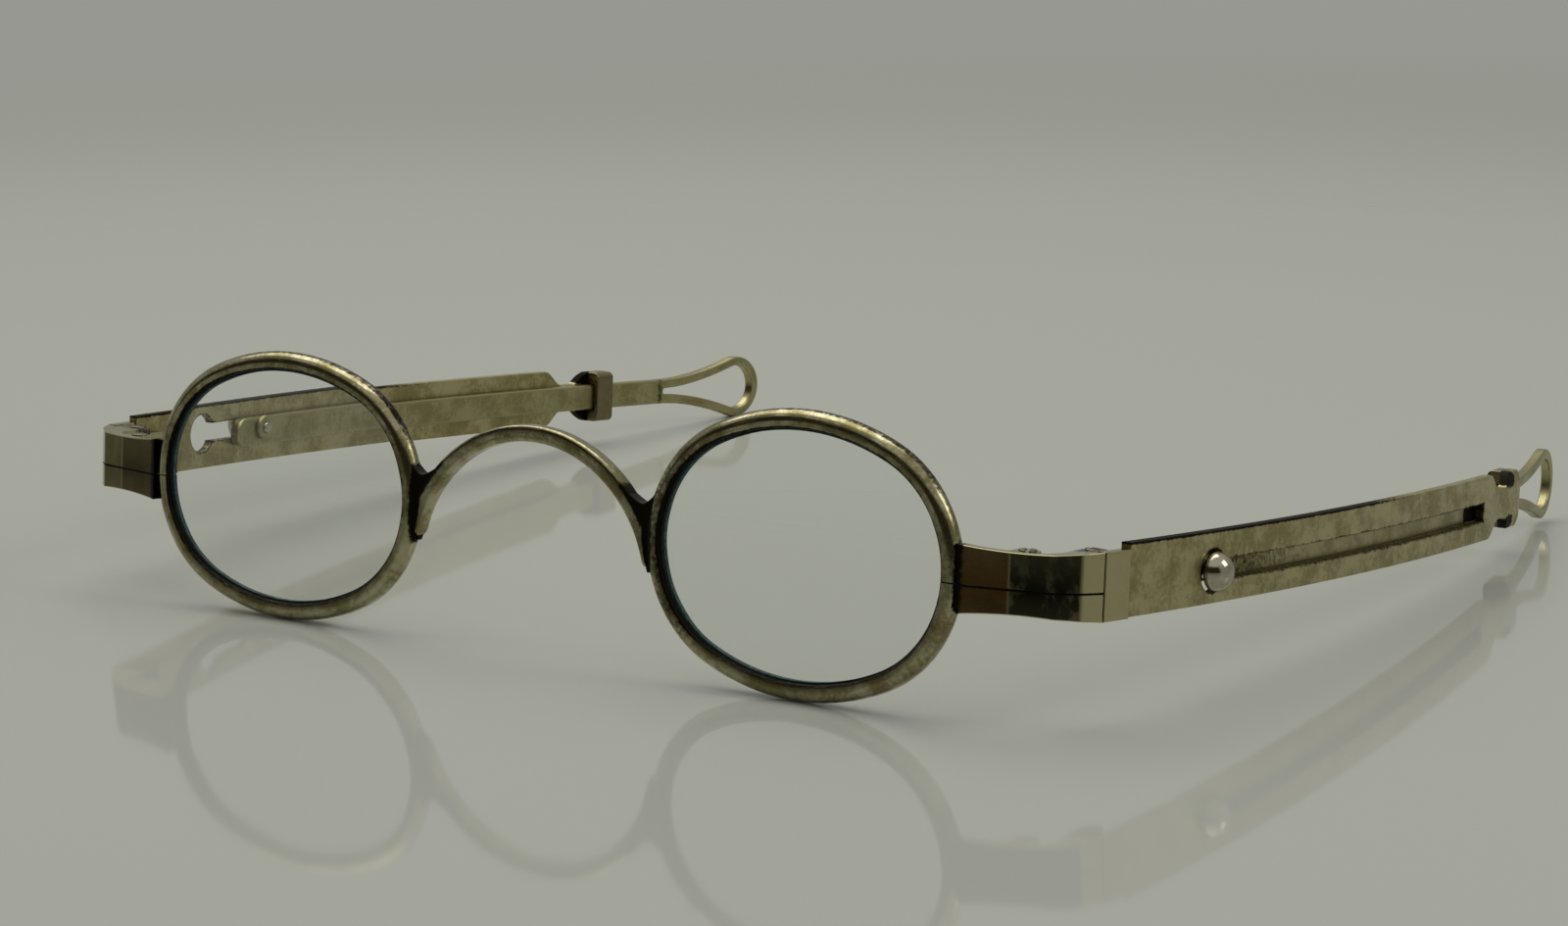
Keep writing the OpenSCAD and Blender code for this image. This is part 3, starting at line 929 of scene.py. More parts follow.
@dataclass(frozen=True)
class Oval:
    """Four-arc oval: two side arcs and two long arcs that meet at equal slopes."""

    width: float = 29.6
    height: float = 23.2
    side_r: float = 10.7

    @property
    def side_c(self) -> float:
        """Distance of the side arcs' centres from the middle."""
        return self.width / 2.0 - self.side_r

    @property
    def long_c(self) -> float:
        """Distance of the long arcs' centres from the middle."""
        spare = self.height / 2.0 - self.side_r
        return (self.side_c ** 2 - spare ** 2) / (2.0 * spare)

    def outline(self, turn: Array, grow: Array | float = 0.0) -> Array:
        """Points of the oval moved out by grow, where its normal has the angle turn.

        On a side arc the point is (+-side_c, 0) + (side_r + grow) * n, and on a long arc it is
        (0, -+long_c) + (height / 2 + long_c + grow) * n, with n = (cos turn, sin turn).

        Args:
            turn: Angles of the normal.
            grow: Distances outside the oval.

        Returns:
            Points, with one more axis than the arguments.
        """
        c, s = np.cos(turn), np.sin(turn)
        on_side = np.abs(s) <= math.sin(math.atan2(self.long_c, self.side_c))
        radius = np.where(on_side, self.side_r, self.height / 2.0 + self.long_c) + grow
        x = np.where(on_side, np.sign(c) * self.side_c, 0.0) + radius * c
        z = np.where(on_side, 0.0, -np.sign(s) * self.long_c) + radius * s
        return together(x, z)

    def side_x(self, level: Array) -> Array:
        """Distance of a side arc from the oval's middle at a height: side_c + sqrt(r*r - level^2)."""
        return self.side_c + np.sqrt(self.side_r ** 2 - level ** 2)


@dataclass(frozen=True)
class Rims:
    """The two grooved rims, each sawn open on its temple side."""

    oval: Oval = field(default_factory=Oval)
    gap: float = 23.7
    wire: float = 1.5
    depth: float = 1.86
    groove: float = 0.5
    groove_w: float = 0.94
    cut: float = 0.12
    split_z: float = -0.46
    lip: float = 0.26
    lip_inner: float = 0.09
    stations: int = 420
    waves: tuple[Triple, ...] = ((0.010, 5.0, 0.7), (0.008, 13.0, 2.1))
    wave_room: float = 0.012
    # Strength of the painted shade on the rim's side towards the nose, for each side
    nose_dark: dict[Side, float] = field(default_factory=lambda: {Side.RIGHT: 0.42, Side.LEFT: 0.18})

    @property
    def lens_x(self) -> float:
        """Distance of a rim's middle from the middle of the object."""
        return self.gap / 2.0 + self.oval.width / 2.0

    @property
    def mid_z(self) -> float:
        """Height of the rims' middle above their lowest place."""
        return self.oval.height / 2.0

    @property
    def out(self) -> float:
        """Distance of a rim's outer side from the middle of the object."""
        return self.lens_x + self.oval.width / 2.0

    @property
    def wire_r(self) -> float:
        """Radius of the round outer side of the wire."""
        return self.depth / 2.0

    def profile(self) -> Array:
        """Section of the wire, from the groove round one lip, over the outside and back.

        Returns:
            Outward distance from the outline, depth, and hollow mark, shape (n, 3).
        """
        r, half = self.wire_r, self.groove_w / 2.0
        bottom, inner = self.groove - self.wire, -self.wire
        side = np.concatenate([
            [[bottom, 0.0], [bottom, half * 0.94], [bottom - 0.05, half]],
            arc((inner + self.lip_inner, half + self.lip_inner), self.lip_inner, 270.0, 180.0, 4),
            arc((inner + self.lip, r - self.lip), self.lip, 180.0, 90.0, 7),
            arc((-r, 0.0), r, 90.0, 0.0, 16),
        ])
        loop = np.concatenate([side, side[-2:0:-1] * [1.0, -1.0]])
        hollow = smooth(inner + 0.10, inner + 0.30, loop[:, 0]) * (np.abs(loop[:, 1]) < half + 0.02)
        hollow = hollow * smooth(bottom + 0.35, bottom + 0.15, loop[:, 0])
        # Painted shade and dirt on the inner lip, beside the lens
        hollow = np.maximum(hollow, 0.85 * smooth(inner + 0.34, inner + 0.06, loop[:, 0]))
        return np.concatenate([loop, hollow[:, None]], axis=1)

    def shell(self, side: Side) -> Shell:
        """The wire: its section carried round the oval, from one side of the cut to the other.

        Two faint waves along the wire, of a size, a count and a start each, keep it from looking
        machined, and wave_room keeps them inside the true outline. The hollow mark is set in the
        groove, as painted shade and dirt on the inner lip, beside the solder, as painted shade on the
        side towards the nose, and as a painted dark reflection in a line along the top.

        Args:
            side: Side of the rim; the right one gets the stronger painted shade towards the nose.

        Returns:
            The rim.
        """
        reach = self.oval.side_r
        first = math.asin((self.split_z + self.cut / 2.0) / reach)
        last = math.asin((self.split_z - self.cut / 2.0) / reach) + 2.0 * np.pi
        turn = np.linspace(first, last, self.stations)[:, None]
        section, depth, groove = self.profile().T
        wave = sum(size * np.sin(count * turn + start) for size, count, start in self.waves)
        out = section * (1.0 + wave) - self.wave_room
        at = self.oval.outline(turn, out)
        points = together(self.lens_x + at[..., 0], depth, self.mid_z + at[..., 1])
        run = along(self.oval.outline(turn[:, 0]))[:, None]
        # Painted shade on the side towards the nose
        dark = self.nose_dark[side] * smooth(2.0, 2.5, turn) * smooth(4.3, 3.9, turn)
        # Painted dark reflection in a line along the top of the wire
        painted_top_reflection = 0.62 * smooth(-0.20, -0.06, section) * smooth(3.0, 8.0, at[..., 1])
        hollow = groove + 0.9 * self.joint_dirt(points) + dark + painted_top_reflection
        return Shell.grid(points, caps=True, hollow=np.clip(hollow, 0.0, 1.0),
                          grain=together(run, out, depth))

    def joint_dirt(self, points: Array) -> Array:
        """Dirt beside the two soldered joints: at the end piece and at the bridge.

        Args:
            points: Points of the wire.

        Returns:
            The mark, from 0 to 1.
        """
        x, z = points[..., 0], points[..., 2] - self.mid_z
        inner = self.lens_x - self.oval.width / 2.0
        end = smooth(self.out - 0.75, self.out - 0.15, x) * smooth(3.6, 2.6, -z) * smooth(3.9, 2.2, z)
        bridge = smooth(inner + 0.95, inner + 0.35, x) * smooth(3.9, 2.9, -z) * smooth(3.9, 2.9, z)
        return np.clip(end + bridge, 0.0, 1.0)

    def build(self, bench: Bench) -> None:
        """Makes both rims."""
        for side in Side:
            bench.piece("grooved_rim", "rim", self.shell(side), side, "front", RIM_SILVER)


@dataclass(frozen=True)
class Lenses:
    """The two lenses, round on both faces, with a ground edge that sits in the groove."""

    rims: Rims
    edge: float = 0.9
    face_r: float = 1200.0
    chamfer: float = 0.17
    seat: float = 0.02
    bevel: float = 0.05
    steps: int = 240

    def half(self, distance: Array) -> Array:
        """Half thickness at a distance d from the middle: h + sqrt(R*R - d*d) - R.

        Args:
            distance: Distances from the lens's middle.

        Returns:
            Half thicknesses; at the end of the long axis it is half the edge.
        """
        reach = self.rims.oval.width / 2.0 - self.rims.wire + self.rims.groove
        fall = math.sqrt(self.face_r ** 2 - reach ** 2) - self.face_r
        return self.edge / 2.0 - fall + np.sqrt(self.face_r ** 2 - distance ** 2) - self.face_r

    def shell(self) -> Shell:
        """Front face, edge and back face as rings about the middle.

        Returns:
            The lens, whose edge is painted with the second finish.
        """
        turn = circle(self.steps)
        lip = -self.rims.wire - self.seat
        outer = self.rims.groove - self.rims.wire - 2.0 * self.seat
        face = self.rims.oval.outline(turn, lip - self.chamfer)
        share = np.concatenate([np.linspace(0.0, 0.95, 16), [0.985, 1.0]])
        inside = share[:, None, None] * face
        half = self.half(np.linalg.norm(inside, axis=-1))
        step = self.rims.oval.outline(turn, np.array([[lip], [outer - self.bevel], [outer]]))
        seat_half = self.edge / 2.0 - self.chamfer
        rim_half = np.array([[seat_half], [seat_half], [seat_half - self.bevel]]) + 0.0 * turn
        flat = np.concatenate([inside, step])
        depth = np.concatenate([half, rim_half])
        flat = np.concatenate([flat, flat[::-1]])
        depth = np.concatenate([-depth, depth[::-1]])
        points = together(self.rims.lens_x + flat[..., 0], depth, self.rims.mid_z + flat[..., 1])
        shell = Shell.grid(points)
        row = np.arange(len(shell.faces)) // turn.size
        shell.paint = (np.abs(row - (len(flat) - 2) / 2.0) < len(step) + 0.6).astype(int).tolist()
        return shell

    def build(self, bench: Bench) -> None:
        """Makes both lenses."""
        for side in Side:
            bench.piece("ground_lens", "lens", self.shell(), side, "front", LENS_GLASS, LENS_EDGE)


@dataclass(frozen=True)
class Bridge:
    """The arched bridge, whose legs taper down along the rims, with its dark solder."""

    NEVER: ClassVar[float] = 99.0

    rims: Rims
    radius: float = 12.1
    rise: float = 6.4
    thick: float = 1.4
    depth: float = 1.4
    foot: float = 2.8
    tip: float = 0.7
    web_rise: float = 2.6
    web_curl: float = 1.0
    web_depth: float = 0.62
    seat: float = 0.02
    square: float = 0.42
    web_rounding: float = 0.16
    web_in_arch: float = 0.35
    web_in_rim: float = 0.40

    @property
    def arch_z(self) -> float:
        """Height of the middle of the arch's circle."""
        return self.rims.mid_z + self.rise - self.radius

    def reach(self, theta: Array) -> Array:
        """Distance from the arch's middle to the rim's outside, in the direction theta.

        With c the side arc's centre and R its radius, the ray meets it at
        b - sqrt(b*b - c*c + R*R), where b is the share of c along the ray.

        Args:
            theta: Directions, in radians.

        Returns:
            Distances, and NEVER where the ray passes the rim.
        """
        cx, cz = self.rims.lens_x - self.rims.oval.side_c, self.rims.mid_z - self.arch_z
        b = np.abs(np.cos(theta)) * cx + np.sin(theta) * cz
        root = b ** 2 - cx ** 2 - cz ** 2 + (self.rims.oval.side_r + self.seat) ** 2
        return np.where(root > 0.0, b - np.sqrt(np.maximum(root, 0.0)), self.NEVER)

    def arch(self) -> Shell:
        """The arch: a rounded square section, cut off along its outside where the rims stand.

        The section is the superellipse sign(c) * |c|^square, with c the cosine or the sine, and
        both tips are rounded off over the length tip.

        Returns:
            The arch with its legs.
        """
        low = math.asin((self.rims.mid_z - self.foot - self.arch_z) / self.radius)
        tips = low + self.tip / self.radius * (1.0 - np.cos(np.linspace(0.0, np.pi / 2.0, 9)))
        between = np.linspace(tips[-1], np.pi - tips[-1], 181)[1:-1]
        theta = np.concatenate([tips, between, np.pi - tips[::-1]])[:, None]
        thick = np.minimum(self.thick, self.reach(theta) - self.radius)
        near = np.clip((np.minimum(theta, np.pi - theta) - low) * self.radius / self.tip, 0.0, 1.0)
        round_end = np.sqrt(np.maximum(1.0 - (1.0 - near) ** 2, 0.0))
        turn = circle(count=40)
        across, deep = (np.sign(c) * np.abs(c) ** self.square for c in (np.cos(turn), np.sin(turn)))
        out = self.radius + thick * 0.5 * (1.0 + across * round_end)
        y = self.depth / 2.0 * deep * round_end
        points = together(out * np.cos(theta), y, self.arch_z + out * np.sin(theta))
        level = points[..., 2] - self.rims.mid_z
        hollow = smooth(4.6, 3.4, level) * smooth(0.1, 0.7, across)
        return Shell.grid(points, hollow=hollow, grain=together(theta * self.radius, out, y))

    def web(self, side: Side) -> Shell:
        """Solder between a leg and its rim: a sheet whose upper border hangs like a drop.

        At the height z the sheet runs from the arch's outside to the rim's outside, and a little
        into both; the heights of its upper rows rise by curl * (2v - 1)^2 towards both sides.

        Args:
            side: Side of the leg.

        Returns:
            The web, dirty all over.
        """
        v = np.concatenate([[0.0, 0.06], np.linspace(0.14, 0.86, 9), [0.94, 1.0]])[None]
        level = np.linspace(-self.foot - 0.25, self.web_rise, 30)[:, None]
        level = level + self.web_curl * smooth(-1.0, self.web_rise, level) * (2.0 * v - 1.0) ** 2
        z = level + self.rims.mid_z - self.arch_z
        arch_x = np.sqrt(np.maximum((self.radius + self.thick) ** 2 - z ** 2, 0.0))
        rim_x = self.rims.lens_x - self.rims.oval.side_x(level)
        arch_x = np.minimum(arch_x, rim_x - 0.05) - self.web_in_arch
        x = arch_x + (rim_x + self.web_in_rim - arch_x) * v

        def face(sign: float) -> Place:
            """Front or back of the web, thinner towards its foot.

            Args:
                sign: -1 for the front, 1 for the back.

            Returns:
                The function that places points of the sheet.
            """
            def at(p: Array) -> Array:
                """Place of points of the sheet on that face."""
                share = smooth(-self.foot - 0.3, -self.foot + 1.2, p[:, 1] - self.rims.mid_z)
                deep = self.web_depth * (0.55 + 0.45 * share)
                return together(side.value * p[:, 0], sign * deep, p[:, 1])
            return at

        sheet = Sheet.grid(together(x, level + self.rims.mid_z))
        return sheet.solid(face(-1.0), face(1.0), self.web_rounding, dirty)

    def build(self, bench: Bench) -> None:
        """Makes the bridge with the solder of both its corners."""
        shell = Shell.joined([self.arch()] + [self.web(side) for side in Side])
        bench.piece("arched_bridge", "bridge", shell, None, "front", RIM_SILVER)


@dataclass(frozen=True)
class EndPieces:
    """The split end pieces: front plate, bevelled corner, side plate, screw boss and knuckles."""

    ROWS: ClassVar[tuple[float, ...]] = (0.0, 0.3, 0.5, 0.7, 1.0)

    rims: Rims
    height: float = 5.4
    waist: float = 4.8
    thick: float = 0.95
    front: float = 7.8
    sweep: float = 13.0
    corner: float = 2.3
    corner_slope: float = 42.0
    side: float = 1.8
    side_slope: float = 62.0
    split_gap: float = 0.06
    boss_r: float = 1.05
    boss_x: float = 4.5
    knuckle_r: float = 1.15
    knuckle_fit: float = 0.1
    tongue_h: float = 1.7
    hinge_back: float = 1.6
    hinge_lean: float = 3.0
    butt_gap: float = 0.14
    seat: float = 0.02
    rounding: float = 0.08
    knuckle_slack: float = 0.012
    wedge_front: float = 0.42
    wedge_back: float = 0.05
    wedge_in_rim: float = 0.35
    wedge_in_plate: float = 0.10

    def plan(self) -> Array:
        """Outer corners in plan, from the rim to the hinge gap.

        Returns:
            Four points (x, y).
        """
        corners = [np.array([self.rims.out + self.seat, -self.rims.wire_r - 0.07])]
        for length, slope in (
            (self.front, self.sweep), (self.corner, self.corner_slope), (self.side, self.side_slope),
        ):
            turn = math.radians(slope)
            corners.append(corners[-1] + length * np.array([math.cos(turn), math.sin(turn)]))
        return np.array(corners)

    @property
    def gap_y(self) -> float:
        """Distance of the hinge gap behind the rims."""
        return float(self.plan()[3, 1])

    @property
    def waist_x(self) -> float:
        """Place of the waist."""
        return (self.rims.out + float(self.plan()[3, 0])) / 2.0

    @property
    def waist_r(self) -> float:
        """Radius of the waist's curve."""
        run = (float(self.plan()[3, 0]) - self.rims.out) / 2.0
        return (run ** 2 + ((self.height - self.waist) / 2.0) ** 2) / (self.height - self.waist)

    @property
    def boss_y(self) -> float:
        """Distance of the closing screw behind the rims."""
        fall = self.boss_x * math.tan(math.radians(self.sweep))
        return float(self.plan()[0, 1]) + fall + self.thick + self.boss_r * 0.9

    def top(self, x: Array) -> Array:
        """Half height at x: waist / 2 + R - sqrt(R*R - (x - waist_x)^2)."""
        return self.waist / 2.0 + self.waist_r - np.sqrt(self.waist_r ** 2 - (x - self.waist_x) ** 2)

    def inner_y(self, x: float) -> float:
        """Inner face of the front plate at x, in plan."""
        start = self.plan()[0]
        return float(start[1]) + self.thick + (x - float(start[0])) * math.tan(math.radians(self.sweep))

    def lean(self, side: Side) -> Array:
        """Matrix that leans rows of points about y, as the hinge leans on a side.

        Args:
            side: Side of the hinge.

        Returns:
            The matrix, which stands on the right of the points.
        """
        a = side.value * math.radians(self.hinge_lean)
        return np.array([
            [math.cos(a), 0.0, -math.sin(a)], [0.0, 1.0, 0.0], [math.sin(a), 0.0, math.cos(a)],
        ])

    def sheet(self, hinge: Array) -> Sheet:
        """Plan of a half: a sheet between its outer and its inner line, up to the knuckle's notch.

        Both lines have the same number of points. The outer one follows the faces, and the inner
        one follows the front plate, the boss, the side plate and the back of the knuckle. They
        end in arcs about the hinge, one knuckle's fit away from it.

        Args:
            hinge: Place of the hinge axis in plan.

        Returns:
            The sheet.
        """
        p0, p1, p2, p3 = self.plan()
        hx, hy = hinge
        k, notch = self.knuckle_r, self.knuckle_r + self.knuckle_fit
        face = self.gap_y - self.butt_gap / 2.0
        reach = hy - math.sqrt(notch ** 2 - k ** 2)
        lean = math.degrees(math.asin(k / notch))
        boss_low = self.rims.out + self.boss_x - self.boss_r
        boss_high = boss_low + 2.0 * self.boss_r
        counts = [8, 2, 14, 2, 4, 5, 6, 5, 4, 4]
        shares = np.array([0.0, 0.44, 0.46, 0.72, 0.74, 0.86])[:, None]
        rear = [p1, p2, [p3[0], face], [hx + k, face], [hx + k, reach]]
        outer = line([*(p0 + shares * (p1 - p0)), *rear], counts)
        sweep = math.radians(self.sweep)
        bend = p1 + self.thick * np.array([-math.sin(sweep), math.cos(sweep)])
        start = [[p0[0], self.inner_y(p0[0])], [boss_low, self.inner_y(boss_low)],
                 [boss_low, self.boss_y]]
        boss = arc((boss_low + self.boss_r, self.boss_y), self.boss_r, 180.0, 0.0, counts[2] + 1)
        rest = [[boss_high, self.boss_y], [boss_high, self.inner_y(boss_high)], bend - [self.thick, 0.0],
                [hx - k, bend[1] + self.thick], [hx - k, reach]]
        inner = np.concatenate([
            line(start, counts[:2]), boss[1:], line(rest, counts[3:6] + [sum(counts[6:])])[1:],
        ])
        outer = np.concatenate([outer, arc((hx, hy), notch, -90.0 + lean, -90.0, 9)[1:]])
        inner = np.concatenate([inner, arc((hx, hy), notch, -90.0 - lean, -90.0, 9)[1:]])
        return Sheet.between(outer, inner, self.ROWS)

    def knuckle_sheet(self, hinge: Array) -> Sheet:
        """Plan of an outer knuckle with its stem, which runs back into the half.

        Args:
            hinge: Place of the hinge axis in plan.

        Returns:
            The sheet, between the outline's right side and its mirror image.
        """
        hx, hy = hinge
        k = self.knuckle_r - self.knuckle_slack
        stem = line([[hx + k, hy - self.knuckle_r], [hx + k, hy]], [3])
        outer = np.concatenate([stem, arc((hx, hy), k, 0.0, 90.0, 13)[1:]])
        return Sheet.between(outer, outer * [-1.0, 1.0] + [2.0 * hx, 0.0], self.ROWS)

    def flat(self, height: Place | float) -> Place:
        """Takes points of a plan to a height above the middle of the rims.

        Args:
            height: The height, or a function that gives it for x.

        Returns:
            The function that places points (x, y).
        """
        def at(p: Array) -> Array:
            """Place of points of the plan."""
            level = height(p[:, 0]) if callable(height) else height
            return together(p[:, 0], p[:, 1], self.rims.mid_z + level)
        return at

    def dirt(self, p: Array) -> Array:
        """Dirt of points in plan: near the rim and in the hinge.

        Args:
            p: Points (x, y).

        Returns:
            The hollow mark.
        """
        x, y = p.T
        start = float(self.plan()[0, 0])
        return np.clip(smooth(start + 0.7, start + 0.1, x) + 0.6 * smooth(3.2, 4.6, y), 0.0, 1.0)

    def gone_dark(self, p: Array) -> Array:
        """Painted dark reflection of points in plan: the outer side of the front plate and of the
        corner.

        Args:
            p: Points (x, y).

        Returns:
            1 on these faces, otherwise 0.
        """
        x, y = p.T
        p0, p1, p2 = self.plan()[:3]
        front = p0[1] + (x - p0[0]) * math.tan(math.radians(self.sweep))
        corner = p1[1] + (x - p1[0]) * math.tan(math.radians(self.corner_slope))
        outer = np.where(x < p1[0], front, corner)
        return (y < outer + 0.04) * (x < p2[0] - 0.1) * 1.0

    def solder(self, half: Half) -> Shell:
        """Black wedge between the rim and the end piece, in which the rim's curve leaves room.

        Args:
            half: Half of the end piece that it lies on.

        Returns:
            The wedge.
        """
        rims = self.rims
        low = half.value * rims.split_z + 0.08
        level = np.linspace(low, self.top(rims.out) - 0.05, 14)[:, None]
        rim = rims.lens_x + rims.oval.side_x(level) - self.wedge_in_rim
        plate = rims.out + self.seat + self.wedge_in_plate
        x = rim + (plate - rim) * np.linspace(0.0, 1.0, 5)
        sheet = Sheet.grid(together(x, half.value * level))

        def face(y: float) -> Place:
            """Front or back of the wedge."""
            return lambda p: together(p[:, 0], y, rims.mid_z + p[:, 1])

        return sheet.solid(face(-rims.wire_r + self.wedge_front), face(self.wedge_back),
                           self.rounding, dirty)

    def half_shell(self, hinge: Array, half: Half) -> Shell:
        """One half: its plate, its knuckle and its solder.

        The plate lies between the split, along which dirt has gathered, and the curved outer
        edge, beside which the face is left without the painted reflection.

        Args:
            hinge: Place of the hinge axis in plan.
            half: Which half.

        Returns:
            The half.
        """
        split = self.rims.split_z + half.value * self.split_gap / 2.0
        outer = self.flat(lambda x: half.value * self.top(x))
        plate = self.sheet(hinge).solid(outer, self.flat(split), self.rounding, self.dirt,
                                        self.gone_dark)
        level = plate.points[:, 2] - self.rims.mid_z
        # The painted dark reflection stops short of the curved outer edge, so its highlight stays
        plate.stain *= smooth(0.04, 0.12, self.top(plate.points[:, 0]) - np.abs(level))
        plate.hollow = np.maximum(plate.hollow, 0.8 * smooth(0.09, 0.04, np.abs(level - split)))
        tongue = self.flat(half.value * (self.tongue_h / 2.0 + self.knuckle_fit))
        knuckle = self.knuckle_sheet(hinge).solid(outer, tongue, self.rounding * 0.8, self.dirt)
        return Shell.joined([plate, knuckle, self.solder(half)])

    def build(self, bench: Bench, hinge: Array) -> None:
        """Makes the four halves.

        Args:
            bench: Where the pieces are made.
            hinge: Place of the hinge axis in plan.
        """
        for side, finish in ((Side.RIGHT, END_SILVER), (Side.LEFT, LEFT_END_SILVER)):
            for half in Half:
                bench.piece(f"split_end_{half.word}", f"end_piece_{half.word}",
                            self.half_shell(hinge, half), side, "front", finish)


@dataclass(frozen=True)
class Bow:
    """Bow of a temple: a cylinder's wall, on which places are y and z."""

    ends: EndPieces
    radius: float = 286.0
    widest_y: float = 46.7

    @property
    def centre_x(self) -> float:
        """Place of the cylinder's axis."""
        start = float(self.ends.plan()[3, 0]) + self.ends.butt_gap * 0.1
        return start - math.sqrt(self.radius ** 2 - (self.widest_y - self.ends.gap_y) ** 2)

    def x(self, y: Array | float, depth: float) -> Array:
        """Place at y, so deep below the outer face: cx + sqrt((R - depth)^2 - (y - cy)^2)."""
        return self.centre_x + np.sqrt((self.radius - depth) ** 2 - (y - self.widest_y) ** 2)

    def face(self, depth: float, mid_z: float) -> Place:
        """Takes points (y, z) of a side view to the face at the given depth."""
        return lambda p: together(self.x(p[:, 0], depth), p[:, 0], mid_z + p[:, 1])

    def drawn(self, points: Array, out: float) -> Array:
        """Points turned about the bow's axis, so that they travel the length out.

        Args:
            points: Points, shape (..., 3).
            out: Length along the outer face.

        Returns:
            Points of the same shape.
        """
        turn = out / self.radius
        x, y = points[..., 0] - self.centre_x, points[..., 1] - self.widest_y
        return together(
            self.centre_x + x * math.cos(turn) - y * math.sin(turn),
            self.widest_y + x * math.sin(turn) + y * math.cos(turn),
            points[..., 2],
        )


@dataclass(frozen=True)
class Screws:
    """Slotted closing screws and hinge screws."""

    ends: EndPieces
    shank_d: float = 0.9
    head_d: float = 1.5
    head_h: float = 0.5
    proud: float = 0.15
    slot_w: float = 0.26
    slot_depth: float = 0.22
    slot_wall: float = 0.012
    dome: float = 0.05
    rounding: float = 0.07
    closing_spin: float = 25.0
    hinge_spin: float = 62.0

    def head(self) -> Shell:
        """Slotted head: a disc whose top falls by the slot's depth where |x| < slot width / 2.

        The columns of the disc lie close together at both walls of the slot, and at its rim.

        Returns:
            The head, with its top at 0.
        """
        r, half, wall = self.head_d / 2.0, self.slot_w / 2.0, self.slot_wall
        inside = np.array([-0.6, 0.0, 0.6]) * half
        outer = np.array([half + wall, half + 0.12, 0.40, 0.52, 0.62, 0.69, 0.73, r - 0.0015])
        x = np.concatenate([-outer[::-1], [wall - half], inside, [half - wall], outer])[:, None]
        y = np.sin(np.linspace(-np.pi / 2.0, np.pi / 2.0, 19)) * np.sqrt(r ** 2 - x ** 2)

        def top(p: Array) -> Array:
            """Slightly domed top with its slot."""
            dome = self.dome * (1.0 - (p[:, 0] ** 2 + p[:, 1] ** 2) / r ** 2)
            slot = self.slot_depth * smooth(half + wall, half - wall, np.abs(p[:, 0]))
            return together(p[:, 0], p[:, 1], dome - self.dome - slot)

        return Sheet.grid(together(x, y)).solid(
            top, lambda p: together(p[:, 0], p[:, 1], -self.head_h), self.rounding,
            lambda p: smooth(half + 0.03, half - 0.01, np.abs(p[:, 0])),
        )

    def shell(self, length: float, spin: float, place: Place) -> Shell:
        """Head and shank, spun about the axis and put in place.

        Args:
            length: From the top of the head to the shank's end.
            spin: Angle of the slot, in degrees.
            place: Takes points with the head's top at 0 to their place.

        Returns:
            The screw.
        """
        r = self.shank_d / 2.0
        start = -self.slot_depth - 0.05
        profile = np.array([[0.0, start], [r, start], [r, 0.08 - length], [r - 0.08, -length],
                            [0.0, -length]])
        head = self.head()
        c, s = math.cos(math.radians(spin)), math.sin(math.radians(spin))
        head.points = place(head.points @ np.array([[c, s, 0.0], [-s, c, 0.0], [0.0, 0.0, 1.0]]))
        return Shell.joined([head, Shell.turned(profile, place, count=32)])

    def build(self, bench: Bench, hinge: Array) -> None:
        """Makes the four screws.

        Args:
            bench: Where the pieces are made.
            hinge: Place of the hinge axis in plan.
        """
        ends, mid = self.ends, self.ends.rims.mid_z
        boss = np.array([ends.rims.out + ends.boss_x, ends.boss_y])
        for side in Side:
            top = float(ends.top(boss[0])) + self.proud
            closing = self.shell(2.0 * top - self.proud, self.closing_spin,
                                 lambda p: p + np.array([*boss, mid + top]))
            bench.piece("slotted_closing_screw", "closing_screw", closing, side, "front", SCREW_SILVER)
            top = float(ends.top(hinge[0])) + self.proud
            middle = np.array([*hinge, mid])
            pivot = self.shell(2.0 * top - 2.0 * self.proud, self.hinge_spin,
                               lambda p: (p + [0.0, 0.0, top]) @ ends.lean(side) + middle)
            bench.piece("slotted_hinge_screw", "hinge_screw", pivot, side, "front", SCREW_SILVER)


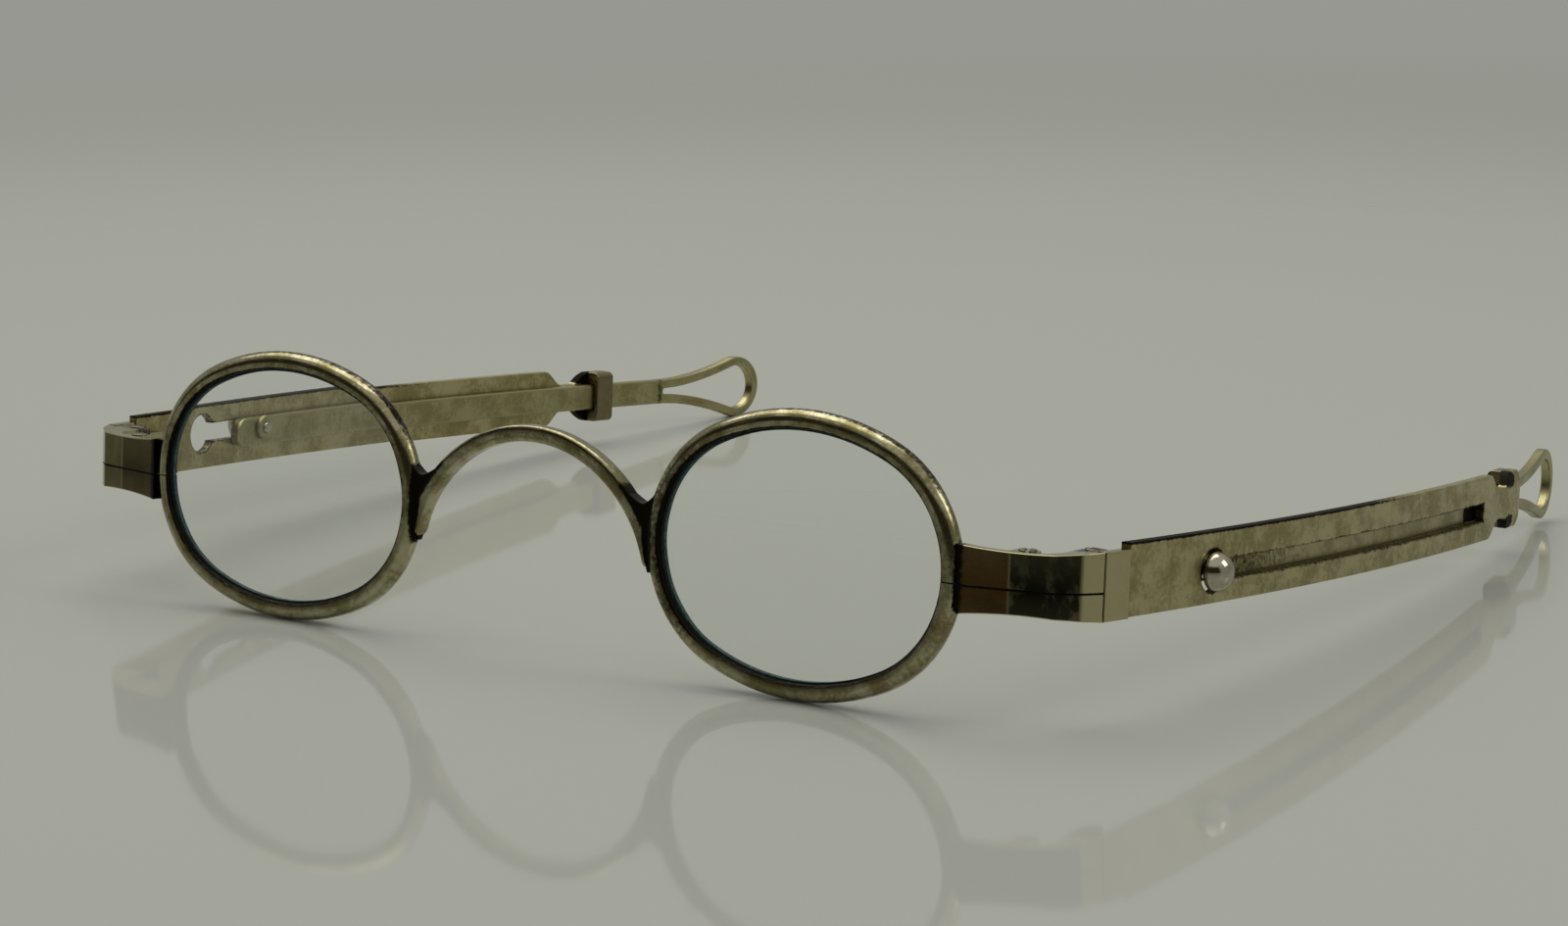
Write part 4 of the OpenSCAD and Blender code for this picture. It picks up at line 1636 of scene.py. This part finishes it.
@dataclass(frozen=True)
class Temples:
    """Joint plate, slotted strip and keeper of each temple."""

    ROWS: ClassVar[tuple[float, ...]] = (0.0, 0.35, 0.65, 1.0)

    bow: Bow
    butt_t: float = 0.85
    butt_l: float = 3.1
    butt_proud: float = 0.08
    lap_l: float = 3.4
    lap_h: float = 3.2
    lap_t: float = 0.6
    rise: float = 0.3
    strip_h: float = 5.8
    strip_t: float = 0.9
    shoulder_y: float = 71.0
    shoulder_l: float = 1.8
    neck_l: float = 2.2
    neck_h: float = 2.7
    flare_l: float = 1.5
    tee_l: float = 2.7
    tee_h: float = 5.2
    slot_h: float = 1.65
    slot_off: float = 0.3
    keyhole_y: float = 18.2
    keyhole_d: float = 3.5
    slot_end: float = 2.0
    keeper_l: float = 2.4
    keeper_t: float = 0.5
    bar_h: float = 2.6
    bar_t: float = 1.0
    fit: float = 0.08
    seat: float = 0.02
    pivot_fit: float = 0.04
    border_step: float = 0.26
    curl: float = 0.22
    curl_from: float = 1.3
    arm_t: float = 0.3
    arm_root: float = 0.62
    arm_l: float = 0.9
    strip_rounding: float = 0.10
    lap_rounding: float = 0.12
    keeper_rounding: float = 0.13
    keeper_bend: float = 0.62
    keeper_bend_in: float = 0.30

    @property
    def hinge(self) -> Array:
        """Place of the hinge axis in plan, a knuckle and its fit inside the joint plate.

        Returns:
            The point (x, y).
        """
        ends = self.bow.ends
        plate = self.bow.x(np.array(ends.gap_y), self.butt_t - self.butt_proud)
        return np.array([float(plate) - ends.knuckle_fit - ends.knuckle_r, ends.gap_y + ends.hinge_back])

    @property
    def tee_y(self) -> float:
        """Start of the tee."""
        return self.shoulder_y + self.shoulder_l + self.neck_l + self.flare_l

    @property
    def end_y(self) -> float:
        """End of the strip."""
        return self.tee_y + self.tee_l

    @property
    def mid_z(self) -> float:
        """Height of the strip's middle."""
        return self.bow.ends.rims.mid_z + self.rise

    @property
    def slot_back(self) -> float:
        """End of the slot."""
        return self.shoulder_y - self.slot_end

    @property
    def bar_out(self) -> float:
        """Depth of the slider's outer face below the strip's."""
        return self.strip_t + self.fit

    def half_height(self, y: Array) -> Array:
        """Half height of a strip: smooth steps down to the neck and up to the tee.

        Args:
            y: Places along the temple.

        Returns:
            Half heights.
        """
        neck_y = self.shoulder_y + self.shoulder_l
        down = smooth(self.shoulder_y - 0.5, neck_y + 0.2, y) * (self.strip_h - self.neck_h) / 2.0
        up = smooth(neck_y + self.neck_l - 0.3, self.tee_y + 0.2, y) * (self.tee_h - self.neck_h) / 2.0
        return self.strip_h / 2.0 - down + up

    def strip_sheet(self, side: Side) -> Sheet:
        """Side view of a strip with its keyhole and slot.

        Each station in y has rows from the lower edge to the opening's lower border and from its
        upper border to the upper edge; the band between the borders is kept behind the slot.

        Args:
            side: Side of the strip, which sets whether the slot lies low or high.

        Returns:
            The sheet.
        """
        middle = -side.value * self.slot_off
        r, half = self.keyhole_d / 2.0, self.slot_h / 2.0
        start = self.bow.ends.gap_y + self.butt_l + self.seat
        back = self.slot_back
        meet = self.keyhole_y + math.sqrt(r ** 2 - half ** 2)
        apex = self.keyhole_y - r
        rim = self.keyhole_y - r * np.cos(np.linspace(0.0, np.pi - math.asin(half / r), 30))
        y = np.concatenate([
            np.linspace(start, apex - 0.35, 24), rim, np.linspace(meet, back, 96)[1:],
            np.linspace(back, self.shoulder_y - 0.5, 6)[1:],
            np.linspace(self.shoulder_y - 0.5, self.end_y, 48)[1:],
        ])[:, None]
        opening = np.where(y < meet, np.sqrt(np.maximum(r ** 2 - (y - self.keyhole_y) ** 2, 0.0)), half)
        opening = np.where(y < apex + 1e-9, 0.0, opening)
        edge = self.half_height(y)
        low, high, step = middle - opening, middle + opening, self.border_step
        slotted = np.concatenate([
            -edge, step - edge, 0.5 * (low - edge), low - step, low,
            high, high + step, 0.5 * (high + edge), edge - step, edge,
        ], axis=1)
        plain = edge * [-1.0, -0.86, -0.62, -0.40, -0.14, 0.14, 0.40, 0.62, 0.86, 1.0]
        z = slotted + (plain - slotted) * smooth(back + 0.2, back + 1.6, y)
        keep = np.ones((len(y) - 1, z.shape[1] - 1), bool)
        keep[:, 4] = (y[:-1, 0] > back - 1e-6)
        return Sheet.grid(together(y, z), keep)

    def strip_dirt(self, p: Array, side: Side) -> Array:
        """Painted shade round the opening, a painted dark reflection on the upper edge, painted shade
        and tarnish in the tee's scoops, and darker beside the joint.

        Args:
            p: Points (y, z) of the side view.
            side: Side of the strip.

        Returns:
            The hollow mark.
        """
        y, z = p.T
        middle = -side.value * self.slot_off
        # Painted shade along the slot's borders and round the keyhole
        slot = smooth(0.22, 0.0, np.abs(np.abs(z - middle) - self.slot_h / 2.0))
        slot = slot * smooth(self.keyhole_y, self.keyhole_y + 2.0, y)
        slot = slot * smooth(self.slot_back + 0.3, self.slot_back, y)
        ring = np.hypot(y - self.keyhole_y, z - middle) - self.keyhole_d / 2.0
        # Painted dark reflection on the upper edge, then painted shade and tarnish in the tee's scoops
        top = smooth(0.20, 0.06, self.half_height(y) - z) * smooth(62.0, 36.0, y)
        scoop = np.hypot((y - self.tee_y + 0.3) / 1.5, (np.abs(z) - 2.1) / 0.9)
        start = self.bow.ends.gap_y + self.butt_l
        dirt = 0.55 * slot + 0.6 * smooth(0.3, 0.0, ring) + top + smooth(1.15, 0.75, scoop)
        return np.clip(dirt + 0.3 * smooth(start + 0.3, start, y), 0.0, 1.0)

    def strip(self, side: Side) -> Shell:
        """The slotted strip, whose tee curls inwards at its upper and lower side.

        A point of the tee moves inwards by curl * over^2, where over is how far it lies outside
        the middle.

        Args:
            side: Side of the strip.

        Returns:
            The strip.
        """
        def face(depth: float) -> Place:
            """Face of the strip.

            Args:
                depth: Its depth below the outer face.

            Returns:
                The function that places points of the side view.
            """
            flat = self.bow.face(depth, self.mid_z)

            def at(p: Array) -> Array:
                """Place of points of the side view."""
                points = flat(p)
                over = np.maximum(np.abs(p[:, 1]) - self.curl_from, 0.0)
                over = over * smooth(self.tee_y - 1.4, self.tee_y - 0.2, p[:, 0])
                points[:, 0] -= self.curl * over ** 2
                return points
            return at

        return self.strip_sheet(side).solid(
            face(0.0), face(self.strip_t), self.strip_rounding, lambda p: self.strip_dirt(p, side))

    def plate(self, start: float, stop: float, height: float, outer: float, inner: float,
              rounding: float) -> Shell:
        """Bowed plate round the middle of the rims.

        Args:
            start: Its start in y.
            stop: Its end in y.
            height: Its whole height.
            outer: Depth of its outer face.
            inner: Depth of its inner face.
            rounding: Radius of its edges.

        Returns:
            The plate.
        """
        y = np.concatenate([[start], np.linspace(start + 0.25, stop - 0.25, 12), [stop]])
        z = height / 2.0 * np.array([-1.0, -0.86, -0.4, 0.0, 0.4, 0.86, 1.0])
        mid = self.bow.ends.rims.mid_z
        return Sheet.grid(together(y[:, None], z)).solid(
            self.bow.face(outer, mid), self.bow.face(inner, mid), rounding)

    def joint(self, side: Side) -> Shell:
        """Joint plate, lap, and the middle knuckle on its web.

        Args:
            side: Side of the temple, which sets the way that the knuckle leans.

        Returns:
            The joint.
        """
        ends = self.bow.ends
        start = ends.gap_y + ends.butt_gap / 2.0
        stop = ends.gap_y + self.butt_l
        inner = self.butt_t - self.butt_proud
        under = self.strip_t + self.seat
        butt = self.plate(start, stop, ends.height, -self.butt_proud, inner, self.strip_rounding)
        lap = self.plate(stop - self.strip_t, stop + self.lap_l, self.lap_h, under, under + self.lap_t,
                         self.lap_rounding)
        hx, hy = self.hinge
        half, k, soft = ends.tongue_h / 2.0, ends.knuckle_r, 0.06
        bore = Screws.shank_d / 2.0 + self.pivot_fit
        ring = np.array([[bore, -half], [bore, half], [k - soft, half], [k, half - soft],
                         [k, soft - half], [k - soft, -half], [bore, -half]])
        middle = np.array([hx, hy, ends.rims.mid_z])
        tongue = Shell.turned(ring, lambda p: p @ ends.lean(side) + middle, count=48, hollow=0.6)
        plate_x = float(self.bow.x(ends.gap_y, inner)) + self.arm_t
        root_x, start_y = hx + self.arm_root, hy + self.seat
        web = Sheet.between(
            line([[plate_x, start_y], [plate_x, stop - 0.05]], [4]),
            line([[root_x, start_y], [root_x, hy + self.arm_l]], [4]), self.ROWS,
        )
        arm = web.solid(ends.flat(half - soft), ends.flat(soft - half), ends.rounding, lambda p: 0.6)
        return Shell.joined([butt, lap, tongue, arm])

    def keeper(self) -> Shell:
        """Band folded round the bar: a channel section carried along the strip.

        The section's outer and inner line have the same number of points; its lower half is
        mirrored into the upper one.

        Returns:
            The keeper.
        """
        outer_x, band_x = -(self.strip_t + self.seat), -(self.bar_out + self.bar_t + self.fit)
        low_x = band_x - self.keeper_t
        high, inside = self.tee_h / 2.0, self.bar_h / 2.0 + self.fit
        bend, bend_in = self.keeper_bend, self.keeper_bend_in

        def whole(lower: Array, band: float) -> Array:
            """Whole line: its lower half, the straight band, and the mirror image of the half.

            Args:
                lower: Points of the lower half.
                band: Where the straight band lies.

            Returns:
                Points of the line.
            """
            last = lower[-1]
            return np.concatenate([
                lower, line([last, [band, -last[1]]], [10])[1:], lower[-2::-1] * [1.0, -1.0],
            ])

        leg = line([[outer_x, -high], [low_x + bend, -high]], [3])
        corner = arc((low_x + bend, -high + bend), bend, 180.0, 270.0, 9)[::-1]
        leg_in = line([[outer_x, -inside], [band_x, -inside], [band_x, -inside + bend_in]], [3, 8])
        outer, inner = whole(np.concatenate([leg, corner[1:]]), low_x), whole(leg_in, band_x)
        start = self.tee_y + (self.tee_l - self.keeper_l) / 2.0

        def end(y: float) -> Place:
            """Takes points of the section to the place y along the temple."""
            return lambda p: together(self.bow.x(y, 0.0) + p[:, 0], y, self.mid_z + p[:, 1])

        sheet = Sheet.between(outer, inner, self.ROWS)
        return sheet.solid(end(start), end(start + self.keeper_l), self.keeper_rounding)

    def build(self, bench: Bench) -> None:
        """Makes joints, strips and keepers of both sides.

        Args:
            bench: Where the pieces are made.
        """
        for side in Side:
            bench.piece("hinged_joint", "temple_joint", self.joint(side), side, "temple", END_SILVER)
            bench.piece("slotted_strip", "temple_strip", self.strip(side), side, "temple", STRIP_SILVER)
            bench.piece("folded_keeper", "slide_keeper", self.keeper(), side, "temple", KEEPER_REFLECTION_SILVER)


@dataclass(frozen=True)
class Sliders:
    """Sliding bars with their teardrop eyes, studs and washers."""

    temples: Temples
    nose: float = 3.6
    eye_h: float = 6.6
    eye_l: float = 15.0
    eye_wire: float = 0.95
    point_r: float = 0.35
    root: float = 0.8
    flank: float = 18.0
    left_out: float = 7.7
    dome_d: float = 3.2
    neck_d: float = 1.45
    shank_d: float = 1.0
    washer_d: float = 2.2
    washer_t: float = 0.35
    rivet_h: float = 0.2
    eye_gap: float = 0.3
    eye_steps: int = 44
    rounding: float = 0.19

    @property
    def eye_y(self) -> float:
        """Middle of the eye's round end, when the slider is pushed in."""
        return self.temples.end_y + self.eye_gap + self.eye_l - self.eye_h / 2.0

    def out(self, side: Side) -> float:
        """Distance by which the slider of a side is drawn out."""
        return 0.0 if side is Side.RIGHT else self.left_out

    def flare(self, y: float, half: float, radius: float) -> Array:
        """Upper outline from half at y into the round end: half + rise * t^bend.

        The run ends where the circle of the given radius has the flank's slope, and
        bend = tan(flank) * run / rise makes the curve meet it without a corner.

        Args:
            y: Start of the run.
            half: Height of the outline there.
            radius: Radius of the round end.

        Returns:
            Points (y, z) of the run and of the upper quarter of the round end, without the first.
        """
        slope = math.radians(self.flank)
        run = self.eye_y - radius * math.sin(slope) - y
        rise = radius * math.cos(slope) - half
        t = np.linspace(0.0, 1.0, self.eye_steps)
        bend = math.tan(slope) * run / rise
        end = arc((self.eye_y, 0.0), radius, 90.0 + self.flank, 0.0, self.eye_steps)
        return np.concatenate([together(y + run * t, half + rise * t ** bend)[1:], end[1:]])

    def sheet(self) -> Sheet:
        """Side view: the bar in rows, and the eye as rings round its opening.

        Returns:
            The sheet of a slider that is pushed in.
        """
        t = self.temples
        half = t.bar_h / 2.0
        start = t.end_y + self.eye_gap
        join = start - 0.9
        rows = np.array([0.0, 0.25, 0.42, 0.55, 0.75, 0.88, 1.0])
        spread = np.concatenate([-rows[:0:-1], rows])
        nose_y = t.keyhole_y - self.nose + half
        nose = nose_y - half * np.cos(np.linspace(0.0, np.pi / 2.0, 13))
        y = np.concatenate([nose, np.linspace(nose_y, join, 110)[1:]])[:, None]
        height = np.sqrt(np.maximum(half ** 2 - np.minimum(y - nose_y, 0.0) ** 2, 0.0))
        bar = Sheet.grid(together(y, height * spread))
        neck = [[join, half], [start, half]]
        outer = np.concatenate([
            together(join, half * rows), line(neck, [4])[1:], self.flare(start, half, self.eye_h / 2.0),
        ])
        point_y = start + self.root
        point = arc((point_y, 0.0), self.point_r, 180.0, 102.0, len(rows) + 4)
        inner = np.concatenate([
            point, self.flare(point_y, self.point_r, self.eye_h / 2.0 - self.eye_wire),
        ])
        whole = (np.concatenate([c, c[-2::-1] * [1.0, -1.0]]) for c in (inner, outer))
        return bar.joined(Sheet.between(*whole, [0.0, 0.33, 0.67, 1.0]))

    def dirt(self, p: Array, side: Side) -> Array:
        """Darker beside the keeper, with painted shade on the bar under the slot and a painted black
        pocket at the slot's rear end.

        Args:
            p: Points (y, z) of the side view, of a slider that is pushed in.
            side: Side of the slider.

        Returns:
            The hollow mark.
        """
        t = self.temples
        y, level = p[:, 0], p[:, 1] + side.value * t.slot_off
        # Painted shade on the bar where the slot shows it, and a painted black pocket at the slot's rear
        # end
        under = smooth(t.slot_h / 2.0 + 0.25, t.slot_h / 2.0 - 0.1, np.abs(level))
        back = t.slot_back - self.out(side)
        front = smooth(t.keyhole_y - 2.4, t.keyhole_y - 1.4, y) * smooth(46.0, 22.0, y)
        end = smooth(back - 3.1, back - 2.7, y) * smooth(back + 0.9, back + 0.5, y)
        keeper = 0.55 * smooth(0.9, 0.0, np.abs(y - t.end_y - 0.2))
        return np.clip(keeper + under * (0.46 * front + end), 0.0, 1.0)

    def slider(self, side: Side) -> Shell:
        """The bar and its eye; the painted shade under the slot lies on the bar's outer face only.

        Args:
            side: Side of the slider.

        Returns:
            The slider, drawn out as on its side.
        """
        t = self.temples
        outer = t.bow.face(t.bar_out, t.mid_z)
        inner = t.bow.face(t.bar_out + t.bar_t, t.mid_z)
        shell = self.sheet().solid(outer, inner, self.rounding, lambda p: self.dirt(p, side))
        reach = np.hypot(shell.points[:, 0] - t.bow.centre_x, shell.points[:, 1] - t.bow.widest_y)
        face_r = t.bow.radius - t.bar_out
        on_face = smooth(face_r - 0.3, face_r - 0.1, reach)
        shell.hollow *= np.where(shell.points[:, 1] < t.end_y - 1.0, on_face, 1.0)
        shell.points = t.bow.drawn(shell.points, self.out(side))
        return shell

    def stud_place(self, side: Side) -> Place:
        """Takes points with z along the stud's axis, and 0 on the strip's face, to their place.

        Args:
            side: Side of the stud.

        Returns:
            The function that places points, shape (..., 3).
        """
        t = self.temples
        angle = math.asin((t.keyhole_y - t.bow.widest_y) / t.bow.radius)
        outward = np.array([math.cos(angle), math.sin(angle), 0.0])
        frame = np.array([[-math.sin(angle), math.cos(angle), 0.0], [0.0, 0.0, 1.0], outward])
        mid = t.mid_z - side.value * t.slot_off
        foot = np.array([t.bow.centre_x, t.bow.widest_y, mid]) + t.bow.radius * outward
        return lambda p: t.bow.drawn(foot + p @ frame, self.out(side))

    def stud(self, side: Side) -> Shell:
        """Dome, neck in the slot, and shank with its riveted end, turned about the stud's axis.

        Args:
            side: Side of the stud.

        Returns:
            The stud.
        """
        t = self.temples
        r, neck, shank = self.dome_d / 2.0, self.neck_d / 2.0, self.shank_d / 2.0
        low = -(t.bar_out + t.bar_t + t.seat + self.washer_t + self.rivet_h)
        profile = np.concatenate([
            arc((0.0, t.fit), r, 90.0, 4.0, 22),
            [[r - 0.03, t.fit], [neck, t.fit], [neck, -t.strip_t], [shank, -t.strip_t - 0.02],
             [shank, low + 0.14], [shank - 0.06, low + 0.04], [shank * 0.5, low], [0.0, low]],
        ])
        return Shell.turned(profile, self.stud_place(side), count=72)

    def washer(self, side: Side) -> Shell:
        """Washer with softened edges under the riveted end.

        Args:
            side: Side of the washer.

        Returns:
            The washer.
        """
        t = self.temples
        top = -(t.bar_out + t.bar_t + t.seat)
        low = top - self.washer_t
        r, bore = self.washer_d / 2.0, self.shank_d / 2.0 + t.seat
        profile = np.array([
            [bore, top], [r - 0.04, top], [r, top - 0.04], [r, low + 0.12], [r - 0.05, low + 0.04],
            [r - 0.16, low], [bore + 0.04, low], [bore, low + 0.04], [bore, top],
        ])
        return Shell.turned(profile, self.stud_place(side), count=56, hollow=0.15)

    def build(self, bench: Bench) -> None:
        """Makes sliders, studs and washers of both sides.

        Args:
            bench: Where the pieces are made.
        """
        for side in Side:
            bench.piece("teardrop_slider", "slider", self.slider(side), side, "slider", SLIDER_SILVER)
            bench.piece("domed_stud", "slider_stud", self.stud(side), side, "slider", STUD_SILVER)
            bench.piece("riveted_washer", "stud_washer", self.washer(side), side, "slider",
                        SLIDER_SILVER)


def stand_for(sliders: Sliders) -> Stand:
    """Lean at which the rims and the drawn-out eye both touch the surface.

    With l the distance from the wire's foot circle to the eye's middle and h its height,
    tilt = acos((eye_r - wire_r) / norm(l, h)) - atan2(l, h).

    Args:
        sliders: The sliders, with all that they run on.

    Returns:
        The stand.
    """
    temples = sliders.temples
    bow, rims = temples.bow, temples.bow.ends.rims
    centre = np.array([float(bow.x(sliders.eye_y, temples.bar_out)), sliders.eye_y, 0.0])
    run = float(bow.drawn(centre, sliders.left_out)[1])
    rise = temples.mid_z - rims.wire_r
    eye_r = sliders.eye_h / 2.0
    tilt = math.acos((eye_r - rims.wire_r) / math.hypot(run, rise)) - math.atan2(run, rise)
    rear = run * math.cos(tilt) + rise * math.sin(tilt) + eye_r
    return Stand(math.degrees(tilt), (rear - rims.wire_r) / 2.0, rims.wire_r)


# The scene round the object


@dataclass(frozen=True)
class Lamp:
    """Square soft lamp, in millimetres and watts."""

    name: str
    place: Triple
    aim: Triple
    size: float
    power: float
    colour: Colour = (1.0, 0.98, 0.94)

    def build(self) -> None:
        """Hangs the lamp, turned towards its aim."""
        data = bpy.data.lights.new(self.name, "AREA")
        data.size = self.size * MM
        data.energy = self.power
        data.color = self.colour
        lamp = bpy.data.objects.new(self.name, data)
        lamp.location = Vector(self.place) * MM
        way = Vector(self.aim) - Vector(self.place)
        lamp.rotation_euler = way.to_track_quat("-Z", "Y").to_euler()
        bpy.context.scene.collection.objects.link(lamp)


@dataclass(frozen=True)
class Studio:
    """Camera at the photograph's angle, pale floor and backdrop, and soft lamps.

    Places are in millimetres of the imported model. The camera looks from eye to target, and its
    roll and lens were fitted to the photograph.
    """

    eye: Triple = (190.4928, -293.2959, 76.9445)
    target: Triple = (25.6795, -50.8558, 19.0335)
    roll: float = -0.627
    lens: float = 87.846
    floor_colour: Colour = (0.40, 0.405, 0.365)
    far_floor: Colour = (0.285, 0.290, 0.262)
    backdrop: Colour = (0.31, 0.315, 0.285)
    overhead: Colour = (0.60, 0.60, 0.55)
    dark_front: Colour = (0.030, 0.024, 0.014)
    even_light: Colour = (0.46, 0.47, 0.45)
    floor_rings: tuple[float, ...] = (0.0, 60.0, 120.0, 200.0, 400.0, 1000.0, 4000.0)
    floor_drop: float = 0.001
    sensor: float = 36.0
    lamps: tuple[Lamp, ...] = (
        Lamp("high_window", (-260.0, 120.0, 620.0), (0.0, 0.0, 0.0), 700.0, 3.2),
        Lamp("side_fill", (520.0, 160.0, 420.0), (0.0, 0.0, 10.0), 300.0, 0.7),
    )

    def camera(self) -> None:
        """Places the camera: its back is the way from the target to the eye, turned by the roll."""
        eye, target = Vector(self.eye), Vector(self.target)
        back = (eye - target).normalized()
        right = Vector((0.0, 0.0, 1.0)).cross(back).normalized()
        up = back.cross(right)
        c, s = math.cos(math.radians(self.roll)), math.sin(math.radians(self.roll))
        turned = Matrix((c * right + s * up, c * up - s * right, back)).transposed()
        data = bpy.data.cameras.new("photograph")
        data.lens = self.lens
        data.sensor_width = self.sensor
        data.clip_start = 10.0 * MM
        camera = bpy.data.objects.new("photograph", data)
        camera.matrix_world = Matrix.Translation(eye * MM) @ turned.to_4x4()
        bpy.context.scene.collection.objects.link(camera)
        bpy.context.scene.camera = camera

    def floor_surface(self, recipe: Recipe) -> Value:
        """Shader of the floor: glossy round the object, dull further out, and then the backdrop.

        Args:
            recipe: Where the nodes are added.

        Returns:
            The shader.
        """
        place = recipe.add("ShaderNodeTexCoord", {}, {}, "Object")
        distance = recipe.add("ShaderNodeVectorMath", {"operation": "LENGTH"}, {0: place}, "Value")
        far = distance.smooth(0.12, 0.42)
        near = recipe.add("ShaderNodeBsdfPrincipled", {}, {
            "Base Color": recipe.mix(far, self.floor_colour, self.far_floor),
            "Roughness": 0.06 + far * 0.5, "IOR": 1.42,
        })
        haze = recipe.add("ShaderNodeEmission", {}, {"Color": (*self.backdrop, 1.0), "Strength": 1.0})
        return recipe.add("ShaderNodeMixShader", {}, {0: distance.smooth(0.22, 0.60), 1: near, 2: haze})

    def floor(self) -> None:
        """Round pale floor that fades into the backdrop far away."""
        turn, radius = circle(count=96), np.array(self.floor_rings)[:, None]
        points = MM * together(radius * np.cos(turn), radius * np.sin(turn), -self.floor_drop)
        shell = Shell.grid(points)
        mesh = bpy.data.meshes.new("floor")
        mesh.from_pydata(shell.points, [], shell.faces)
        weld(mesh, WELD)
        mesh.materials.append(dressed("pale glossy floor", self.floor_surface))
        obj = bpy.data.objects.new("floor", mesh)
        bpy.context.scene.collection.objects.link(obj)
        obj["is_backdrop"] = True

    def world(self) -> None:
        """Even light; the metal mirrors a brighter ceiling and the dark room before the object."""
        world = bpy.data.worlds.new("studio")
        bpy.context.scene.world = world
        world.use_nodes = True
        recipe = Recipe(world.node_tree)
        shown = recipe.ray("Is Camera Ray", "Is Transmission Ray")
        _, y, z = recipe.parts(recipe.add("ShaderNodeTexCoord", {}, {}, "Generated"))
        mirrored = recipe.mix(z.smooth(0.25, 0.85), self.backdrop, self.overhead)
        room = y.smooth(-0.30, -0.60) * z.smooth(0.66, 0.46)
        mirrored = recipe.mix(room, mirrored, self.dark_front)
        colour = recipe.mix(recipe.ray("Is Glossy Ray"), self.even_light, mirrored)
        colour = recipe.mix(shown, colour, self.backdrop)
        light = recipe.add("ShaderNodeBackground", {}, {"Color": colour, "Strength": 1.0})
        recipe.node("ShaderNodeOutputWorld", {}, {"Surface": light})

    def build(self) -> None:
        """Sets the whole scene."""
        bpy.context.scene.view_settings.view_transform = "Standard"
        self.camera()
        self.floor()
        self.world()
        for lamp in self.lamps:
            lamp.build()


def corners(bounds: Sequence[Vector]) -> list[list[float]]:
    """Lowest and highest corner as plain lists."""
    return [list(corner) for corner in bounds]


def main(cad_box: list[list[float]]) -> None:
    """Builds the object and the studio.

    Args:
        cad_box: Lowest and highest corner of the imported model.
    """
    logging.basicConfig(level=logging.INFO, format="%(name)s %(message)s")
    rims = Rims()
    ends = EndPieces(rims)
    temples = Temples(Bow(ends))
    sliders = Sliders(temples)
    bench = Bench(stand_for(sliders))
    Studio().build()
    rims.build(bench)
    Lenses(rims).build(bench)
    Bridge(rims).build(bench)
    ends.build(bench, temples.hinge)
    Screws(ends).build(bench, temples.hinge)
    temples.build(bench)
    sliders.build(bench)
    log.info("%d pieces made, leaning %.3f degrees", bench.made, bench.stand.tilt)
    sizes = {"cad": cad_box, "visual": corners(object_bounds())}


if __name__ == "__main__":
    main(corners(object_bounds()))
